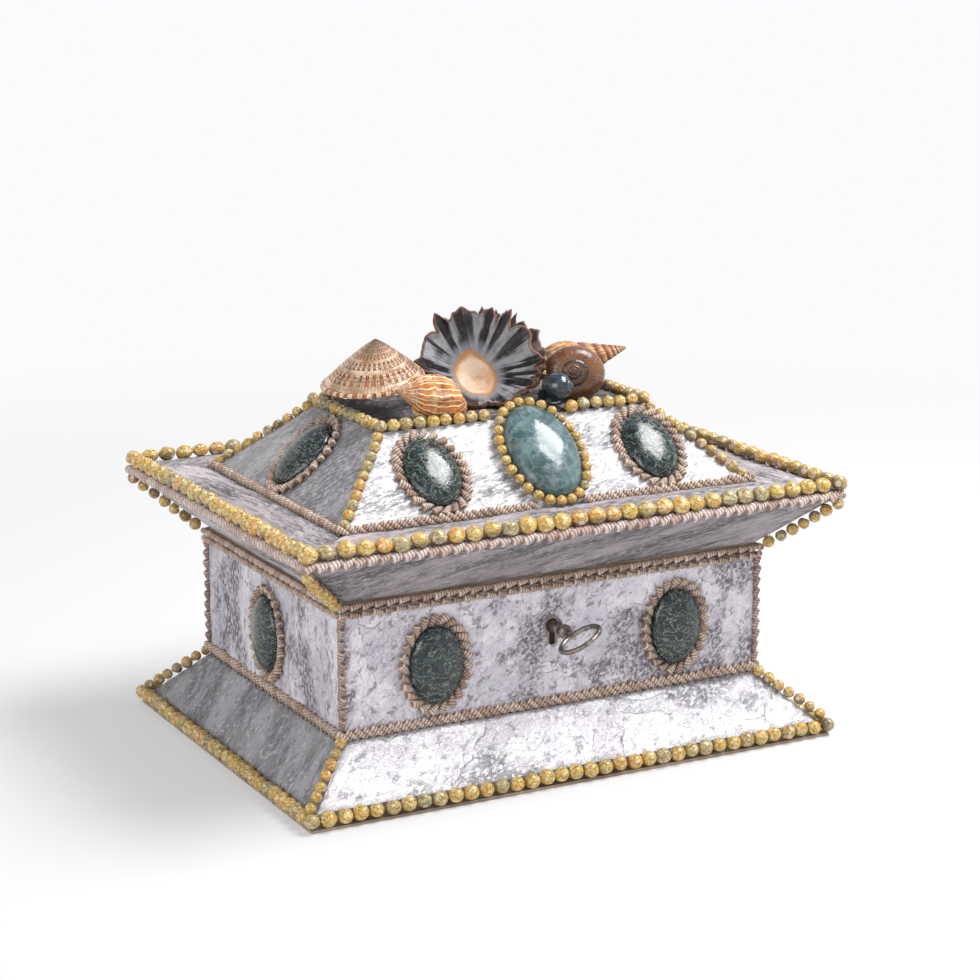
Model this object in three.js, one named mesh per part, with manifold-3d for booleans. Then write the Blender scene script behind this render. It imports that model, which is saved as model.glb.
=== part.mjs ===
// A casket faced with flaky grey stone, trimmed with snail shells, ropes of tiny spiral shells
// and oval green stones, with seven large shells on its lid. Millimetres, +Z up.
// The front (with the key) faces -Y, and the origin is on the ground under the middle.
import * as THREE from 'three';
import { mergeVertices } from 'three/addons/utils/BufferGeometryUtils.js';
import Module from 'manifold-3d';

const wasm = await Module();
wasm.setup();

// ---- driving dimensions ----

const gap = 0.3;

// half length (X) and half depth (Y) of each level, and its height
const board = { x: 149.8, y: 112.6, top: 1.5 };
const skirt = { footX: 144.8, footY: 107.6, edgeTop: 6.7, top: 32.1 };
const box = { x: 119.5, y: 83.3, top: 97.9, wall: 8, floor: 8 };
const lidBottom = 98.4;
const corniceFoot = 102.9;
const eave = { x: 149, y: 112.9, bottom: 130, top: 133.5 };
const roof = { footX: 116.5, footY: 80.1, foot: 134.8, topX: 75.6, topY: 39.2, top: 173.3 };
const cavity = { x: 110, y: 74, shoulder: 130, topX: 71, topY: 35, top: 167 };

const footBead = { x: 149.2, y: 112, z: 6.2, radius: 4.7, alongX: 35, alongY: 26 };
const eaveBead = { x: 149.6, y: 113.5, z: 136.6, radius: 4.7, alongX: 31, alongY: 23 };
const crownBead = { x: 76.6, y: 40.2, z: 176.2, radius: 3.7, alongX: 21, alongY: 11 };
const hipBeadRadius = 3.7;
const rope = { radius: 2, fine: 1.75, sides: 4 };

const roofRise = roof.top - roof.foot;
const roofRun = roof.footY - roof.topY;
const roofTilt = Math.atan2(roofRise, roofRun);
const roofSlope = Math.hypot(roofRise, roofRun);

const smallStone = { halfWidth: 14.4, halfHeight: 19.9, depth: 6, lift: 1.4, sides: 9 };
const bigStone = { halfWidth: 19.4, halfHeight: 28, depth: 10, lift: 3, sides: 14 };
const borderWidth = 4.9;
const bigBorderBead = 2.5;

// the lid's stones sit halfway up its roof, and the front three a little right of the middle
const lidStones = { shift: 4.3, spacing: 63, up: roofSlope * 0.495, bigUp: 3.2, leftShift: -5 };
const caseStones = { x: 69.5, z: 65, leftShift: -1.5 };
const keyhole = { x: -2.3, z: 74.8, depth: 6, radius: 3.7, slotWidth: 3.4, slotDrop: 10 };

// ---- materials ----

function finish(color, roughness, metalness = 0) {
  return () => new THREE.MeshStandardMaterial({ color, roughness, metalness });
}

const stoneVeneer = finish(0xa09da4, 0.55);
const bareWood = finish(0x8a7258, 0.8);
const yellowShell = finish(0xb79a4e, 0.35);
const spireShell = finish(0xa88a78, 0.6);
const greenStone = finish(0x33463f, 0.2);
const blueGreenStone = finish(0x5d7a7a, 0.2);
const agedMetal = finish(0x55504a, 0.35, 0.9);

// ---- solids ----

function toSolid(geometry) {
  const bare = geometry.clone();
  bare.deleteAttribute('normal');
  bare.deleteAttribute('uv');
  const merged = mergeVertices(bare, 1e-4);
  const index = merged.index.array;
  const triangles = [];
  for (let i = 0; i < index.length; i += 3) {
    const [a, b, c] = [index[i], index[i + 1], index[i + 2]];
    if (a !== b && b !== c && c !== a) triangles.push(a, b, c);
  }
  return new wasm.Manifold(new wasm.Mesh({
    numProp: 3,
    vertProperties: new Float32Array(merged.attributes.position.array),
    triVerts: new Uint32Array(triangles),
  }));
}

function toGeometry(solid) {
  const mesh = solid.getMesh();
  const geometry = new THREE.BufferGeometry();
  geometry.setAttribute('position', new THREE.BufferAttribute(mesh.vertProperties, 3));
  geometry.setIndex(new THREE.BufferAttribute(mesh.triVerts, 1));
  return geometry;
}

function join(geometries) {
  return toGeometry(geometries.map(toSolid).reduce((whole, next) => whole.add(next)));
}

function part(name, geometry, material) {
  const mesh = new THREE.Mesh(geometry, material());
  mesh.name = name;
  return mesh;
}

// a block whose bottom and top are rectangles of different size
function taperedBlock(bottomX, bottomY, bottomZ, topX, topY, topZ) {
  const block = new THREE.BoxGeometry(2, 2, 2);
  const place = block.attributes.position;
  for (let i = 0; i < place.count; i += 1) {
    const high = place.getZ(i) > 0;
    const x = place.getX(i) * (high ? topX : bottomX);
    const y = place.getY(i) * (high ? topY : bottomY);
    place.setXYZ(i, x, y, high ? topZ : bottomZ);
  }
  return block;
}

// turns a shape made along +Y so that it runs from one point towards another
function layAlong(geometry, from, to, outward) {
  const along = to.clone().sub(from).normalize();
  const side = new THREE.Vector3().crossVectors(along, outward).normalize();
  const out = new THREE.Vector3().crossVectors(side, along);
  const turn = new THREE.Matrix4().makeBasis(side, along, out);
  turn.setPosition(from);
  return geometry.applyMatrix4(turn);
}

// a string of touching beads from one bead centre to another
function beadRow(from, to, spaces, radius, outward, sides = 3) {
  const length = from.distanceTo(to);
  const pitch = length / spaces;
  const neck = radius * 0.4;
  const profile = [new THREE.Vector2(0, -radius * 0.95)];
  for (let i = 0; i <= spaces; i += 1) {
    profile.push(new THREE.Vector2(radius, i * pitch));
    if (i < spaces) profile.push(new THREE.Vector2(neck, (i + 0.5) * pitch));
  }
  profile.push(new THREE.Vector2(0, length + radius * 0.95));
  return layAlong(new THREE.LatheGeometry(profile, sides), from, to, outward);
}

function ropeBar(from, to, radius, outward) {
  const length = from.distanceTo(to);
  const bar = new THREE.CylinderGeometry(radius, radius, length, rope.sides);
  bar.translate(0, length / 2, 0);
  return layAlong(bar, from, to, outward);
}

const up = new THREE.Vector3(0, 0, 1);
const corners = [[-1, -1], [1, -1], [1, 1], [-1, 1]];
const cornerNames = ['front_left', 'front_right', 'back_right', 'back_left'];

function cornerPoint(corner, x, y, z) {
  return new THREE.Vector3(corner[0] * x, corner[1] * y, z);
}

// the four straight rows around a rectangle, each from corner to corner
function aroundRectangle(x, y, z, makeRow) {
  return corners.map((corner, i) => {
    const from = cornerPoint(corner, x, y, z);
    const to = cornerPoint(corners[(i + 1) % 4], x, y, z);
    return makeRow(from, to, i);
  });
}

// beads that stand on a flat top point up, and those against a side point away from it
function beadLoop(bead, sideways = false) {
  return aroundRectangle(bead.x, bead.y, bead.z, (from, to, i) => {
    const away = from.clone().add(to).setZ(0).normalize();
    const spaces = i % 2 ? bead.alongY : bead.alongX;
    return beadRow(from, to, spaces, bead.radius, sideways ? away : up);
  });
}

function ropeLoop(x, y, z, radius) {
  return aroundRectangle(x, y, z, (from, to) => {
    const reach = to.clone().sub(from).setLength(radius * 0.7);
    return ropeBar(from.clone().sub(reach), to.clone().add(reach), radius, up);
  });
}

// ---- carcass ----

function makeCarcass() {
  const boardBlock = taperedBlock(board.x, board.y, 0, board.x, board.y, board.top);
  const skirtEdge = taperedBlock(
    skirt.footX, skirt.footY, board.top + gap, skirt.footX, skirt.footY, skirt.edgeTop);
  const skirtSlope = taperedBlock(
    skirt.footX, skirt.footY, skirt.edgeTop, box.x, box.y, skirt.top);
  return [
    part('base_board', boardBlock, bareWood),
    part('base_skirt', join([skirtEdge, skirtSlope]), stoneVeneer),
    part('case', makeCase(), stoneVeneer),
    part('lid', makeLid(), stoneVeneer),
  ];
}

function makeCase() {
  const bottom = skirt.top + gap;
  const outside = taperedBlock(box.x, box.y, bottom, box.x, box.y, box.top);
  const insideX = box.x - box.wall;
  const insideY = box.y - box.wall;
  const inside = taperedBlock(insideX, insideY, bottom + box.floor, insideX, insideY, box.top + 1);
  const round = new THREE.CylinderGeometry(keyhole.radius, keyhole.radius, keyhole.depth * 2, 10);
  round.translate(keyhole.x, -box.y, keyhole.z);
  const slot = new THREE.BoxGeometry(keyhole.slotWidth, keyhole.depth * 2, keyhole.slotDrop);
  slot.translate(keyhole.x, -box.y, keyhole.z - keyhole.slotDrop / 2);
  return toGeometry(toSolid(outside).subtract(toSolid(inside))
    .subtract(toSolid(round)).subtract(toSolid(slot)));
}

function makeLid() {
  const outside = [
    taperedBlock(box.x, box.y, lidBottom, box.x, box.y, corniceFoot),
    taperedBlock(box.x, box.y, corniceFoot, eave.x, eave.y, eave.bottom),
    taperedBlock(eave.x, eave.y, eave.bottom, eave.x, eave.y, eave.top),
    taperedBlock(eave.x, eave.y, eave.top, roof.footX, roof.footY, roof.foot),
    taperedBlock(roof.footX, roof.footY, roof.foot, roof.topX, roof.topY, roof.top),
  ];
  const hollow = join([
    taperedBlock(cavity.x, cavity.y, lidBottom - 1, cavity.x, cavity.y, cavity.shoulder),
    taperedBlock(cavity.x, cavity.y, cavity.shoulder, cavity.topX, cavity.topY, cavity.top),
  ]);
  return toGeometry(toSolid(join(outside)).subtract(toSolid(hollow)));
}

// ---- rows of snail shells ----

// the middle stone breaks through the crown row, so that row stops on both sides of it
function crownFrontRows() {
  const pitch = (2 * crownBead.x) / crownBead.alongX;
  const clear = bigStone.halfWidth + 2;
  const point = (x) => new THREE.Vector3(x, -crownBead.y, crownBead.z);
  const leftSpaces = Math.floor((crownBead.x + lidStones.shift - clear) / pitch);
  const rightSpaces = Math.floor((crownBead.x - lidStones.shift - clear) / pitch);
  const left = beadRow(
    point(-crownBead.x), point(-crownBead.x + leftSpaces * pitch), leftSpaces, crownBead.radius, up);
  const right = beadRow(
    point(crownBead.x), point(crownBead.x - rightSpaces * pitch), rightSpaces, crownBead.radius, up);
  return [left, right];
}

// a row down a hip; its first bead joins onto the bead at the corner
function hipRow(cornerBead, end, spaces, outward) {
  const first = cornerBead.clone().lerp(end, 0.6 / spaces);
  return beadRow(first, end, spaces - 1, hipBeadRadius, outward);
}

function makeBeads() {
  const footRows = beadLoop(footBead, true);
  const roofRows = beadLoop(crownBead).slice(1).concat(crownFrontRows());
  const corniceRows = [];
  corners.forEach((corner, i) => {
    const outward = new THREE.Vector3(corner[0], corner[1], 2).normalize();
    const down = new THREE.Vector3(corner[0], corner[1], -2).normalize();
    const footCorner = cornerPoint(corner, footBead.x, footBead.y, footBead.z);
    const skirtTop = cornerPoint(corner, box.x + 5.3, box.y + 5.2, skirt.top - 1.3);
    footRows.push(hipRow(footCorner, skirtTop, 6, outward));
    const crownCorner = cornerPoint(corner, crownBead.x, crownBead.y, crownBead.z);
    const roofFoot = cornerPoint(corner, roof.footX - 2.5, roof.footY - 2.5, roof.foot + 6.4);
    roofRows.push(hipRow(crownCorner, roofFoot, 10, outward));
    const corniceTop = cornerPoint(corner, eave.x + 0.6, eave.y + 0.6, eave.bottom - 3.6);
    const corniceEnd = cornerPoint(corner, box.x + 5.4, box.y + 5.4, corniceFoot + 0.8);
    const row = beadRow(corniceTop, corniceEnd, 6, hipBeadRadius, down);
    corniceRows.push(part(`cornice_hip_beads_${cornerNames[i]}`, row, yellowShell));
  });
  return [
    part('foot_beads', join(footRows), yellowShell),
    part('roof_beads', join(roofRows), yellowShell),
    part('eave_beads', join(beadLoop(eaveBead)), yellowShell),
    ...corniceRows,
  ];
}

// ---- ropes of tiny spiral shells ----

function makeRopes() {
  const off = rope.radius + gap;
  const fineOff = rope.fine + gap;
  const footZ = skirt.top + 3;
  const rimZ = box.top - rope.fine - 0.2;
  const lidZ = lidBottom + rope.fine + 0.2;
  const roofZ = roof.foot + rope.radius + 0.4;
  const roofOff = rope.radius + 0.4;
  const ropes = [
    part('case_foot_rope', join(ropeLoop(box.x + off, box.y + off, footZ, rope.radius)), spireShell),
    part('case_rim_rope',
      join(ropeLoop(box.x + fineOff, box.y + fineOff, rimZ, rope.fine)), spireShell),
    part('lid_rim_rope',
      join(ropeLoop(box.x + fineOff, box.y + fineOff, lidZ, rope.fine)), spireShell),
    part('eave_rope',
      join(ropeLoop(eave.x + off, eave.y + off, eave.bottom + 1.9, rope.radius)), spireShell),
    part('roof_foot_rope', makeRoofFootRope(roofOff, roofZ), spireShell),
  ];
  const lowEnd = footZ + rope.radius + gap;
  const highEnd = rimZ - rope.fine - gap;
  corners.forEach((corner, i) => {
    const bottom = cornerPoint(corner, box.x + 1.7, box.y + 1.7, lowEnd);
    const top = cornerPoint(corner, box.x + 1.7, box.y + 1.7, highEnd);
    const outward = new THREE.Vector3(corner[0], corner[1], 0);
    const bar = ropeBar(bottom, top, rope.radius, outward);
    ropes.push(part(`case_corner_rope_${cornerNames[i]}`, bar, spireShell));
  });
  return ropes;
}

// this rope opens in front, where the middle stone's border comes down to the roof's foot
function makeRoofFootRope(off, z) {
  const loop = toSolid(join(ropeLoop(roof.footX + off, roof.footY + off, z, rope.radius)));
  const opening = new THREE.BoxGeometry(30, 20, 12);
  opening.translate(lidStones.shift, -roof.footY - off, z);
  return toGeometry(loop.subtract(toSolid(opening)));
}

// ---- oval stones and their borders ----

function stoneDome(stone) {
  const profile = [[0, 0], [1, 0], [0.96, 0.32], [0.68, 0.8], [0, 1]]
    .map(([r, h]) => new THREE.Vector2(r, h * stone.depth));
  const dome = new THREE.LatheGeometry(profile, stone.sides);
  dome.rotateX(Math.PI / 2);
  dome.scale(stone.halfWidth, stone.halfHeight, 1);
  return dome;
}

// an oval ring whose thickness swells and thins, once for each pair of shells
function ovalRing(halfWidth, halfHeight, tube, tubeSides, steps) {
  const ring = new THREE.TorusGeometry(1, 0.5, tubeSides, steps);
  const place = ring.attributes.position;
  for (let i = 0; i < place.count; i += 1) {
    const angle = Math.atan2(place.getY(i), place.getX(i));
    const out = Math.hypot(place.getX(i), place.getY(i)) - 1;
    const swell = 1 + 0.14 * Math.cos(angle * steps / 2);
    const reach = out * 2 * tube * swell;
    const x = (halfWidth + reach) * Math.cos(angle);
    const y = (halfHeight + reach) * Math.sin(angle);
    place.setXYZ(i, x, y, place.getZ(i) * 2 * tube * swell);
  }
  return ring;
}

// a frame on one face: X runs to the right, Y up the face and Z straight out of it
function faceFrame(turn, distance, height, tilt) {
  const side = new THREE.Group();
  side.rotation.z = turn;
  const face = new THREE.Group();
  face.position.set(0, -distance, height);
  face.rotation.x = tilt;
  side.add(face);
  return { side, face };
}

function addSmallStone(face, name, x, y) {
  const stone = part(`${name}_stone`, stoneDome(smallStone), greenStone);
  stone.position.set(x, y, smallStone.lift);
  const middle = borderWidth / 2 + gap + 0.3;
  const ring = ovalRing(
    smallStone.halfWidth + middle, smallStone.halfHeight + middle, borderWidth / 2 - 0.3, 3, 12);
  const border = part(`${name}_border`, ring, spireShell);
  border.position.set(x, y, borderWidth / 2 + gap);
  face.add(stone, border);
}

function addBigStone(face, x, y) {
  const stone = part('lid_middle_stone', stoneDome(bigStone), blueGreenStone);
  stone.position.set(x, y, bigStone.lift);
  const middle = bigBorderBead + gap + 0.5;
  const ring = ovalRing(
    bigStone.halfWidth + middle, bigStone.halfHeight + middle, bigBorderBead, 3, 26);
  const border = part('lid_middle_border', ring, yellowShell);
  border.position.set(x, y, bigStone.lift + bigBorderBead);
  face.add(stone, border);
}

function makeStones() {
  const quarter = Math.PI / 2;
  const onSlope = (turn, distance) => faceFrame(turn, distance, roof.foot, roofTilt);
  const onWall = (turn, distance) => faceFrame(turn, distance, 0, quarter);
  const { shift, spacing, up: lidY, bigUp, leftShift } = lidStones;

  const lidFront = onSlope(0, roof.footY);
  addSmallStone(lidFront.face, 'lid_front_left', shift - spacing, lidY);
  addBigStone(lidFront.face, shift, lidY + bigUp);
  addSmallStone(lidFront.face, 'lid_front_right', shift + spacing, lidY);
  const lidLeft = onSlope(-quarter, roof.footX);
  addSmallStone(lidLeft.face, 'lid_left', leftShift, lidY);
  const lidRight = onSlope(quarter, roof.footX);
  addSmallStone(lidRight.face, 'lid_right', 0, lidY);
  const lidBack = onSlope(2 * quarter, roof.footY);
  addSmallStone(lidBack.face, 'lid_back_left', spacing, lidY);
  addSmallStone(lidBack.face, 'lid_back_right', -spacing, lidY);

  const caseFront = onWall(0, box.y);
  addSmallStone(caseFront.face, 'case_front_left', -caseStones.x, caseStones.z);
  addSmallStone(caseFront.face, 'case_front_right', caseStones.x, caseStones.z);
  const caseLeft = onWall(-quarter, box.x);
  addSmallStone(caseLeft.face, 'case_left', caseStones.leftShift, caseStones.z);
  const caseRight = onWall(quarter, box.x);
  addSmallStone(caseRight.face, 'case_right', 0, caseStones.z);
  const caseBack = onWall(2 * quarter, box.y);
  addSmallStone(caseBack.face, 'case_back_left', caseStones.x, caseStones.z);
  addSmallStone(caseBack.face, 'case_back_right', -caseStones.x, caseStones.z);

  return [lidFront, lidLeft, lidRight, lidBack, caseFront, caseLeft, caseRight, caseBack]
    .map((frame) => frame.side);
}

// ---- key ----

// places a piece so that its own +Y points along an axis and its +X as near as can be to another
function stand(mesh, position, axis, across) {
  const y = new THREE.Vector3(...axis).normalize();
  const z = new THREE.Vector3(...across).cross(y).normalize();
  const x = y.clone().cross(z);
  mesh.setRotationFromMatrix(new THREE.Matrix4().makeBasis(x, y, z));
  mesh.position.set(...position);
  return mesh;
}

function makeKey() {
  const bowWidth = 25;
  const bowLength = 18;
  const wire = 1.45;
  const bowStart = 19;
  const lean = 0.47;
  const profile = [
    [0, -5], [3.1, -5], [3.1, 7.5], [2.1, 9], [2.1, 11], [3.3, 12.2],
    [3.3, 14.2], [1.9, 15.8], [1.9, bowStart + wire], [0, bowStart + wire],
  ].map(([r, h]) => new THREE.Vector2(r, h));
  const shank = new THREE.LatheGeometry(profile, 6);
  const bow = new THREE.TorusGeometry(1, 0.5, 4, 14);
  const place = bow.attributes.position;
  for (let i = 0; i < place.count; i += 1) {
    const angle = Math.atan2(place.getY(i), place.getX(i));
    const out = (Math.hypot(place.getX(i), place.getY(i)) - 1) * 2 * wire;
    const x = (bowWidth / 2 - wire + out) * Math.cos(angle);
    const y = (bowLength / 2 - wire + out) * Math.sin(angle);
    place.setXYZ(i, x, y + bowStart + bowLength / 2, place.getZ(i) * 2 * wire);
  }
  const key = part('key', join([shank, bow]), agedMetal);
  const across = [Math.cos(lean), 0, Math.sin(lean)];
  return stand(key, [keyhole.x, -box.y, keyhole.z], [0, -1, 0], across);
}

// ---- large shells on the flat top ----

// rings of a spire from its mouth to its tip, each smaller than the last by one ratio
function spireProfile({ radius, height, base, rings, ratio, round }) {
  const profile = [[0, -base], [radius * 0.75, -base * 0.6]];
  for (let i = 0; i < rings; i += 1) {
    const left = ratio ** i;
    profile.push([radius * left, height * (1 - left) ** round]);
  }
  profile.push([0, height]);
  return profile;
}

// turns a profile about Y and moves each point of it, the seam's two edges together
function turnShaped(profile, sides, move) {
  const points = profile.map(([r, h]) => new THREE.Vector2(r, h));
  const shell = new THREE.LatheGeometry(points, sides);
  const place = shell.attributes.position;
  const rings = profile.length;
  for (let side = 0; side < sides; side += 1) {
    for (let ring = 0; ring < rings; ring += 1) {
      const i = side * rings + ring;
      const [x, y, z] = move(place.getX(i), place.getY(i), place.getZ(i), ring, side);
      place.setXYZ(i, x, y, z);
      if (side === 0) place.setXYZ(sides * rings + ring, x, y, z);
    }
  }
  return shell;
}

// a turned body with a seam pressed into it that winds from its mouth to its tip
function whorledShell({ profile, sides, ringsPerWhorl, seam, lobes = 0, lobeHeight = 0, lip = 0 }) {
  return turnShaped(profile, sides, (x, y, z, ring, side) => {
    const turn = side / sides;
    const whorl = (ring - 2) / ringsPerWhorl + turn;
    const onSpiral = ring > 1 && ring < profile.length - 1;
    const dip = onSpiral ? seam * Math.abs(Math.cos(Math.PI * whorl)) ** 3 : 0;
    const lobe = lobeHeight * Math.cos(2 * Math.PI * lobes * turn);
    const flare = ring < 5 ? lip * Math.max(0, Math.cos(2 * Math.PI * turn)) ** 4 : 0;
    const across = 1 - dip + lobe + flare;
    return [x * across, y * (1 - dip), z * across];
  });
}

// an open cone with a star-shaped rim, hollow towards +Y
function limpetShell({ halfLength, halfWidth, depth, wall, ribs, ribHeight }) {
  const profile = [
    [0, -depth], [0.35, -depth * 0.74], [0.72, -depth * 0.38], [1, -wall * 0.4],
    [0.98, wall * 0.4], [0.68, wall - depth * 0.38], [0.34, wall - depth * 0.7], [0, wall - depth],
  ];
  return turnShaped(profile, ribs * 2, (x, y, z, ring, side) => {
    const rib = side % 2 ? -1 : 1;
    const star = 1 + ribHeight * rib * Math.hypot(x, z) ** 2;
    return [x * halfLength * star, y, z * halfWidth * star];
  });
}

function makeTopShells() {
  const sundial = part('sundial_shell', whorledShell({
    profile: spireProfile({ radius: 28, height: 22.5, base: 0, rings: 10, ratio: 0.8, round: 0.95 }),
    sides: 16,
    ringsPerWhorl: 3,
    seam: 0.05,
  }), finish(0xc9a582, 0.5));
  stand(sundial, [-59.1, 3.4, 190.2], [-0.21, -0.114, 1], [1, 0, 0.2]);

  const rockSnail = part('rock_snail_shell', whorledShell({
    profile: spireProfile({ radius: 11.6, height: 22, base: 18, rings: 8, ratio: 0.76, round: 0.8 }),
    sides: 12,
    ringsPerWhorl: 3,
    seam: 0.1,
    lobes: 6,
    lobeHeight: 0.06,
    lip: 0.3,
  }), finish(0xd39a58, 0.5));
  stand(rockSnail, [-40, -30.4, 188], [-0.95, 0.12, 0.12], [0, -0.3, 1]);

  const limpet = part('limpet_shell', limpetShell({
    halfLength: 31, halfWidth: 26.5, depth: 20, wall: 2.2, ribs: 11, ribHeight: 0.09,
  }), finish(0x5b5552, 0.35));
  const limpetAxis = [-0.36, -0.747, 0.56];
  const limpetAcross = [0.83, -0.529, -0.172];
  stand(limpet, [-2.5, -5.8, 199.2], limpetAxis, limpetAcross);

  const ribbed = part('ribbed_shell', limpetShell({
    halfLength: 29, halfWidth: 25, depth: 16, wall: 2.2, ribs: 9, ribHeight: 0.05,
  }), finish(0xa08d7c, 0.6));
  stand(ribbed, [6.5, 1.9, 196], limpetAxis, limpetAcross);

  const moonSnail = part('moon_snail_shell', whorledShell({
    profile: moonProfile(14.8, 9),
    sides: 13,
    ringsPerWhorl: 3,
    seam: 0.09,
  }), finish(0x84502f, 0.35));
  moonSnail.geometry.scale(1.14, 1, 1);
  stand(moonSnail, [45, -22, 189.2], [-0.3, -0.95, 0.02], [0.95, -0.3, 0]);

  const topSnail = part('top_snail_shell', whorledShell({
    profile: spireProfile({ radius: 7, height: 10.5, base: 7, rings: 6, ratio: 0.72, round: 0.8 }),
    sides: 10,
    ringsPerWhorl: 3,
    seam: 0.06,
  }), finish(0x2f3a45, 0.25));
  stand(topSnail, [24, -34, 184.4], [0.8, -0.55, 0.12], [0, 0, 1]);

  const auger = part('auger_shell', whorledShell({
    profile: spireProfile({ radius: 8, height: 52, base: 5, rings: 18, ratio: 0.91, round: 1 }),
    sides: 8,
    ringsPerWhorl: 3,
    seam: 0.16,
  }), finish(0xb5713a, 0.45));
  stand(auger, [37.5, 5, 185.2], [0.94, -0.28, 0.24], [0, 0, 1]);

  return [sundial, rockSnail, limpet, ribbed, moonSnail, topSnail, auger];
}

// a flattened globe whose tip side carries the rings of the spiral
function moonProfile(radius, thickness) {
  const profile = [[0, -thickness], [radius * 0.8, -thickness * 0.7]];
  const rings = 9;
  for (let i = 0; i < rings; i += 1) {
    const left = 0.78 ** i;
    profile.push([radius * left, thickness * Math.sqrt(1 - left ** 2)]);
  }
  profile.push([0, thickness]);
  return profile;
}

const casket = new THREE.Group();
casket.add(
  ...makeCarcass(), ...makeBeads(), ...makeRopes(), ...makeStones(), makeKey(), ...makeTopShells());

export default casket;
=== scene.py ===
import math
import random

import bpy
from mathutils import Matrix, Vector, noise


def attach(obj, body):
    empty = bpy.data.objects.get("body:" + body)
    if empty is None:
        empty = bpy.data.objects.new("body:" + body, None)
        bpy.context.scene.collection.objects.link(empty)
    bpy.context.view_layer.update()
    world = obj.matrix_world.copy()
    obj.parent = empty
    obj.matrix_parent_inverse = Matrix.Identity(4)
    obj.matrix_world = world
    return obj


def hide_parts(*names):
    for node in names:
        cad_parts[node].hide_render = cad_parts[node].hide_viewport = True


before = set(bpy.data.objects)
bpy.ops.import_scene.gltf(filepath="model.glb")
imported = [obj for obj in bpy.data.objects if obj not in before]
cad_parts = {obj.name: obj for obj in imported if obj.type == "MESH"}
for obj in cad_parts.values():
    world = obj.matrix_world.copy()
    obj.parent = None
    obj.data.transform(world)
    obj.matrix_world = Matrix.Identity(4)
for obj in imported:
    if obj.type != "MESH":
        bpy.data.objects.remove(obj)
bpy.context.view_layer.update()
mm = 0.001
quarter, fullTurn = math.pi / 2, 2 * math.pi
origin = (0, 0, 0)
up = Vector((0, 0, 1))
cornerSigns = [(-1, -1), (1, -1), (1, 1), (-1, 1)]
cornerNames = ["front_left", "front_right", "back_right", "back_left"]


def selectOnly(piece=None):
    if bpy.context.mode != "OBJECT":
        bpy.ops.object.mode_set(mode="OBJECT")
    bpy.ops.object.select_all(action="DESELECT")
    if piece:
        piece.select_set(True)
        bpy.context.view_layer.objects.active = piece


# a new mesh of one of the basic kinds, with its place and turn applied
def addShape(kind, name, **values):
    selectOnly()
    getattr(bpy.ops.mesh, "primitive_" + kind + "_add")(**values)
    piece = bpy.context.object
    piece.name = name
    bpy.ops.object.transform_apply(location=True, rotation=True, scale=True)
    return piece


def startEdit(piece, select="SELECT"):
    selectOnly(piece)
    bpy.ops.object.mode_set(mode="EDIT")
    bpy.ops.mesh.select_mode(type="VERT")
    bpy.ops.mesh.select_all(action=select)


def endEdit():
    bpy.ops.object.mode_set(mode="OBJECT")


def extrude(z=0.0):
    bpy.ops.mesh.extrude_region_move(TRANSFORM_OT_translate={"value": (0, 0, z)})


def resize(x, y, z, centre=origin):
    bpy.ops.transform.resize(value=(x, y, z), center_override=centre)


def turnAboutZ(angle):
    bpy.ops.transform.rotate(value=angle, orient_axis="Z", center_override=origin)


def faceOutward():
    bpy.ops.mesh.select_all(action="SELECT")
    bpy.ops.mesh.normals_make_consistent(inside=False)


def applyModifier(piece, kind, **values):
    selectOnly(piece)
    bpy.ops.object.modifier_add(type=kind)
    modifier = piece.modifiers[-1]
    for name, value in values.items():
        setattr(modifier, name, value)
    bpy.ops.object.modifier_apply(modifier=modifier.name)


# numbers or vectors kept at the points of a mesh
def addAttribute(piece, name, values):
    if isinstance(values[0], float):
        attribute = piece.data.attributes.new(name, "FLOAT", "POINT")
        attribute.data.foreach_set("value", values)
    else:
        attribute = piece.data.attributes.new(name, "FLOAT_VECTOR", "POINT")
        attribute.data.foreach_set("vector", [part for value in values for part in value])


# each point keeps its place in the piece as it was modelled, for patterns that follow it
def keepOwnPlace(piece):
    addAttribute(piece, "ownPlace", [vertex.co[:] for vertex in piece.data.vertices])
    addAttribute(piece, "tint", [0.5] * len(piece.data.vertices))


def joinPieces(pieces, name):
    selectOnly(pieces[0])
    for piece in pieces:
        piece.select_set(True)
    if len(pieces) > 1:
        bpy.ops.object.join()
    pieces[0].name = name
    return pieces[0]


# one model copied to many places, each copy with its own mesh and its own tint
def copyModel(model, places, name):
    copies = []
    for matrix, tint in places:
        data = model.data.copy()
        data.transform(matrix)
        data.attributes["tint"].data.foreach_set("value", [tint] * len(data.vertices))
        copies.append(bpy.data.objects.new(name, data))
        bpy.context.scene.collection.objects.link(copies[-1])
    return joinPieces(copies, name)


def finishPiece(piece, material, slotName, *nodes, smooth=None):
    piece.data.materials.clear()
    piece.data.materials.append(material)
    if smooth is not None:
        selectOnly(piece)
        bpy.ops.object.shade_smooth_by_angle(angle=math.radians(smooth))
    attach(piece, "root")
    if nodes:
        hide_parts(*nodes)


def removePiece(piece):
    selectOnly(piece)
    bpy.ops.object.delete()


def axesMatrix(x, y, z):
    return Matrix((x, y, z)).transposed().to_4x4()


# a frame whose Z points outward and whose X points as near as can be along a direction
def layMatrix(position, along, outward, size):
    x = along.normalized()
    z = (outward - x * outward.dot(x)).normalized()
    return Matrix.Translation(position) @ axesMatrix(x, z.cross(x), z) @ Matrix.Diagonal((*size, 1))


# a form turned about Z: a ring carried up it, with its radius at each height
def makeTurned(name, sides, profile, unit=1.0):
    piece = addShape("circle", name, vertices=sides, radius=profile[0][1] * unit, fill_type="NGON",
                     location=(0, 0, profile[0][0] * unit))
    startEdit(piece)
    for (z, radius), (nextZ, nextRadius) in zip(profile, profile[1:]):
        extrude((nextZ - z) * unit)
        grow = nextRadius / radius
        resize(grow, grow, 1, (0, 0, nextZ * unit))
    faceOutward()
    endEdit()
    return piece


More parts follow.
